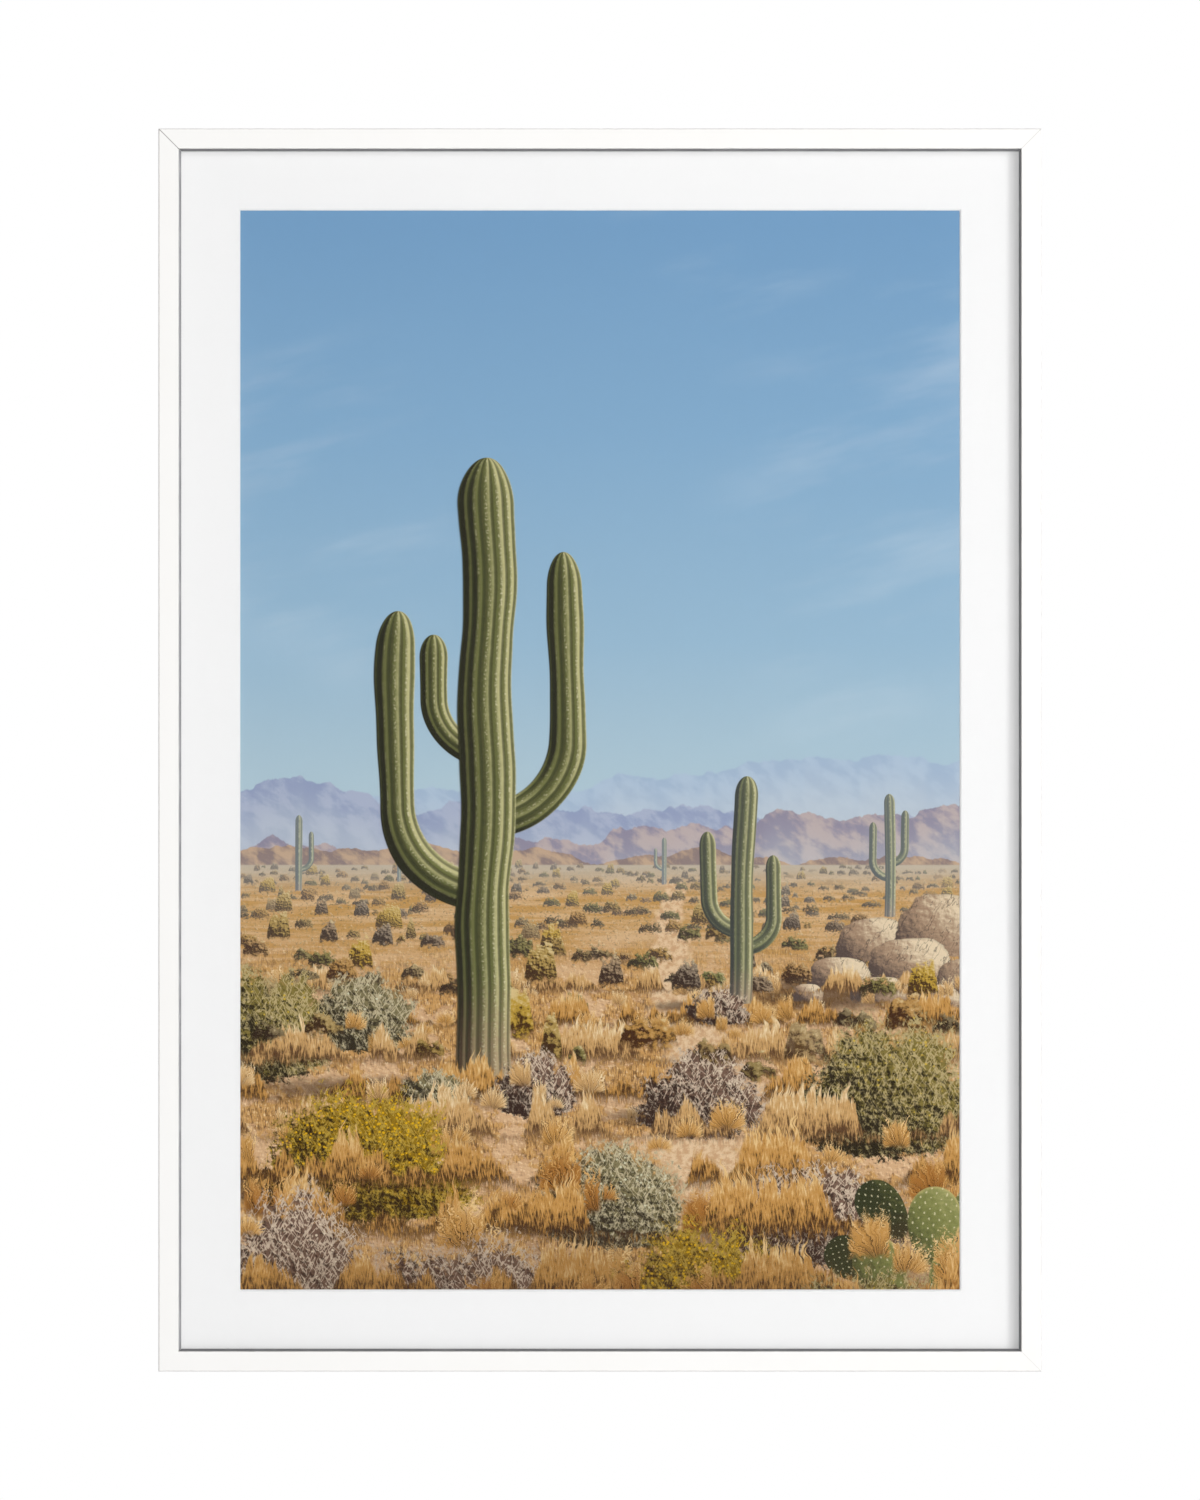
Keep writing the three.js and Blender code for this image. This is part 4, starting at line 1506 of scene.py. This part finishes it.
def add_nail(mesh, corner, diagonal):
    """corner is a place on the mitre line, and diagonal points along that line to the frame's middle."""
    half = nail_outline()
    line = [(-x, y) for x, y in reversed(half[1:])] + half
    crossways = Vector((-diagonal.z, 0, diagonal.x))
    rings = []
    for i, (x, y) in enumerate(line):
        before = line[max(i - 1, 0)]
        after = line[min(i + 1, len(line) - 1)]
        heading = Vector((after[0] - before[0], after[1] - before[1])).normalized()
        normal = Vector((-heading.y, heading.x)) * NAIL_STEEL / 2
        ring = []
        for sign, depth, thin in ((1, 0, 1.0), (-1, 0, 1.0), (-1, 1, NAIL_FOOT), (1, 1, NAIL_FOOT)):
            px, py = x + normal.x * sign * thin, y + normal.y * sign * thin
            spot = corner + crossways * px + diagonal * py
            spot.y = BACK + NAIL_PROUD - depth * NAIL_DEPTH
            ring.append(mesh.verts.new(spot))
        rings.append(ring)
    for ring, following in zip(rings, rings[1:]):
        for i in range(4):
            j = (i + 1) % 4
            mesh.faces.new((ring[i], ring[j], following[j], following[i]))
    mesh.faces.new(rings[0][::-1])
    mesh.faces.new(rings[-1])


def corner_nails():
    mesh = bmesh.new()
    for x, z, to_x, to_z in CORNERS:
        diagonal = Vector((to_x, 0, to_z)).normalized()
        for share in NAIL_PLACES:
            along = STEM * math.sqrt(2) * share
            add_nail(mesh, Vector((x, 0, z)) + diagonal * along, diagonal)
    bmesh.ops.recalc_face_normals(mesh, faces=mesh.faces)
    return new_piece("corner_nails", mesh, zinc_level)


nails = corner_nails()
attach(nails, "root")

# %% [markdown]
# ## The studio
#
# A white frame on a white ground is drawn by small differences in brightness. Light comes from large
# soft panels in front on the right, so the right and top rails throw a soft shade on the mat, and the
# left rail is a touch darker than the right one. A pale floor lies where a floor would be under a picture
# that hangs at eye height, and fades into the white.

# %% The floor
EYE_HEIGHT = 1.5
FLOOR_SOLID = 2.6
FLOOR_END = 4.2


def floor_finish():
    f = Finish("floor_paint")
    x, y, z = f.place()
    mottle = f.noise(f.vector(x, y, z), 3, 3)
    shader = f.node("BsdfPrincipled", {}, {
        "Base Color": f.mix(grey(0.83), grey(0.79), mottle),
        "Roughness": 0.7,
    })
    clear = f.node("BsdfTransparent")
    fade = f.rise(f.length(x, y), FLOOR_SOLID, FLOOR_END)
    return f.finish(f.node("MixShader", {}, {0: fade, 1: shader, 2: clear}))


bpy.ops.mesh.primitive_circle_add(vertices=96, radius=FLOOR_END, fill_type="NGON")
floor = bpy.context.object
floor.name = "studio_floor"
floor.location = (0, 0, CENTRE.z - EYE_HEIGHT)
floor.data.materials.append(floor_finish())

# %% [markdown]
# The world is pure white to the camera, pale to mirrored rays so that metal has something to show, and
# dim to everything else. A Light Path node sorts out which of these a ray sees. Rays that have gone
# through the glazing see none: the straight way to the light, which the glazing lets through, has brought
# that light already, and it would count twice. The world has a tree of its own, so its nodes are made
# here by hand.

# %% The world
AMBIENT = 0.12
MIRRORED = 0.4
BRIGHTNESS_FOR_RAYS = [("Is Glossy Ray", MIRRORED), ("Is Camera Ray", 1.0), ("Is Transmission Ray", 0.0)]


def studio_world():
    world = bpy.data.worlds.new("studio")
    world.use_nodes = True
    nodes, links = world.node_tree.nodes, world.node_tree.links
    nodes.clear()
    rays = nodes.new("ShaderNodeLightPath")
    brightness = None
    for kind, value in BRIGHTNESS_FOR_RAYS:
        choice = nodes.new("ShaderNodeMix")
        choice.inputs["A"].default_value = AMBIENT
        choice.inputs["B"].default_value = value
        links.new(rays.outputs[kind], choice.inputs["Factor"])
        if brightness:
            links.new(brightness, choice.inputs["A"])
        brightness = choice.outputs["Result"]
    background = nodes.new("ShaderNodeBackground")
    background.inputs["Color"].default_value = grey(1.0)
    output = nodes.new("ShaderNodeOutputWorld")
    links.new(brightness, background.inputs["Strength"])
    links.new(background.outputs[0], output.inputs["Surface"])
    return world


bpy.context.scene.world = studio_world()
bpy.context.scene.view_settings.view_transform = "Standard"

# %% [markdown]
# How wide a lip's shade is on the mat, and how it fades, tells where light comes from. The shade is
# darkest at the lip and ends where the last edge of the lamp is clear of it. On the right it fades evenly
# over 12 mm from a lip 10 mm high, so light reaches to 1.4 to the right for every 1 in front. At the top
# it fades over 7 mm and at the bottom over 4, and at the left there is none. Panels with just these
# reaches hang parallel to the frame. Three stand side by side, as each one further out needs more light
# to count as much. A panel's power is worked out from the brightness that it should give a white card in
# the middle of the picture.
#
# The fill comes from straight in front and throws no shade. It and the inner panel stay out of mirrored
# rays, since a lamp that is reflected in the glazing would veil the picture.

# %% The lamps in front
UP = (-0.62, 0.88)
PANEL_DISTANCE = 6.6
PANELS = [
    # name, reaches left to right, reaches down to up, brightness, is mirrored
    ("key_inner", (0.0, 0.5), UP, 0.23, False),
    ("key_middle", (0.5, 0.95), UP, 0.21, True),
    ("key_outer", (0.95, 1.4), UP, 0.21, True),
    ("fill", (-0.04, 0.04), (0.06, 0.14), 0.463, False),
]


def soft_lamp(name, offset, size, facing, brightness, mirrored):
    """A rectangular lamp at an offset from the frame's middle, facing along an axis."""
    offset, facing = Vector(offset), Vector(facing)
    data = bpy.data.lights.new(name, "AREA")
    data.shape = "RECTANGLE"
    data.size, data.size_y = size
    slant = offset.normalized().dot(facing)
    data.energy = brightness * (math.pi * offset.length / slant) ** 2
    lamp = bpy.data.objects.new(name, data)
    lamp.location = CENTRE + offset
    lamp.rotation_euler = facing.to_track_quat("-Z", "Y").to_euler()
    lamp.visible_camera = False
    lamp.visible_glossy = mirrored
    lamp.visible_transmission = False
    bpy.context.scene.collection.objects.link(lamp)
    print(f"{name}: {data.energy:.0f} W at {[round(c, 2) for c in lamp.location]}")


for name, across, up, brightness, mirrored in PANELS:
    middle = (sum(across) / 2 * PANEL_DISTANCE, -PANEL_DISTANCE, sum(up) / 2 * PANEL_DISTANCE)
    size = ((across[1] - across[0]) * PANEL_DISTANCE, (up[1] - up[0]) * PANEL_DISTANCE)
    soft_lamp(name, middle, size, (0, 1, 0), brightness, mirrored)

# %% [markdown]
# The photograph doesn't show the sides and the back, but whoever turns the model round sees them. Lamps
# that stay wholly behind the frame's front light these and the floor, and leave the front as it is. The
# right one is the weakest, because the panels in front light that side as well.

# %% The lamps at the sides and behind
SIDE_LAMPS = [
    # name, offset from the middle, width and height, facing, brightness, is mirrored
    ("above", (0.0, 1.7, 3.0), (3.2, 3.2), (0, 0, -1), 0.3, False),
    ("right_side", (3.5, 1.6, 0.6), (2.8, 2.4), (-1, 0, 0), 0.12, False),
    ("left_side", (-3.5, 1.6, 0.6), (2.8, 2.4), (1, 0, 0), 0.22, False),
    ("back_key", (2.6, 5.0, 2.2), (3.0, 3.0), (0, -1, 0), 0.4, True),
    ("back_fill", (-1.5, 5.0, 0.0), (2.0, 2.0), (0, -1, 0), 0.25, False),
]

for lamp in SIDE_LAMPS:
    soft_lamp(*lamp)

# %% [markdown]
# ## The camera
#
# The photograph is taken dead straight, with no visible perspective, so the camera stands well back with
# a long lens. In the photograph's frame of 1200 by 1500 pixels the object is 1243 pixels high. From that
# and the frame's real height follows how much the picture takes in from top to bottom, and the lens.

# %% The camera
PHOTO_HEIGHT = 1500
OBJECT_PIXELS = 1243
CAMERA_DISTANCE = 12.0
SENSOR = 36.0

taken_in = (TOP - BOTTOM) * PHOTO_HEIGHT / OBJECT_PIXELS
camera_data = bpy.data.cameras.new("camera")
camera_data.sensor_width = SENSOR
camera_data.lens = SENSOR * CAMERA_DISTANCE / taken_in
camera = bpy.data.objects.new("camera", camera_data)
camera.location = (CENTRE.x, FRONT - CAMERA_DISTANCE, CENTRE.z)
camera.rotation_euler = (math.radians(90), 0, 0)
bpy.context.scene.collection.objects.link(camera)
bpy.context.scene.camera = camera
print(f"lens {camera_data.lens:.1f} mm, {taken_in:.3f} m from top to bottom")
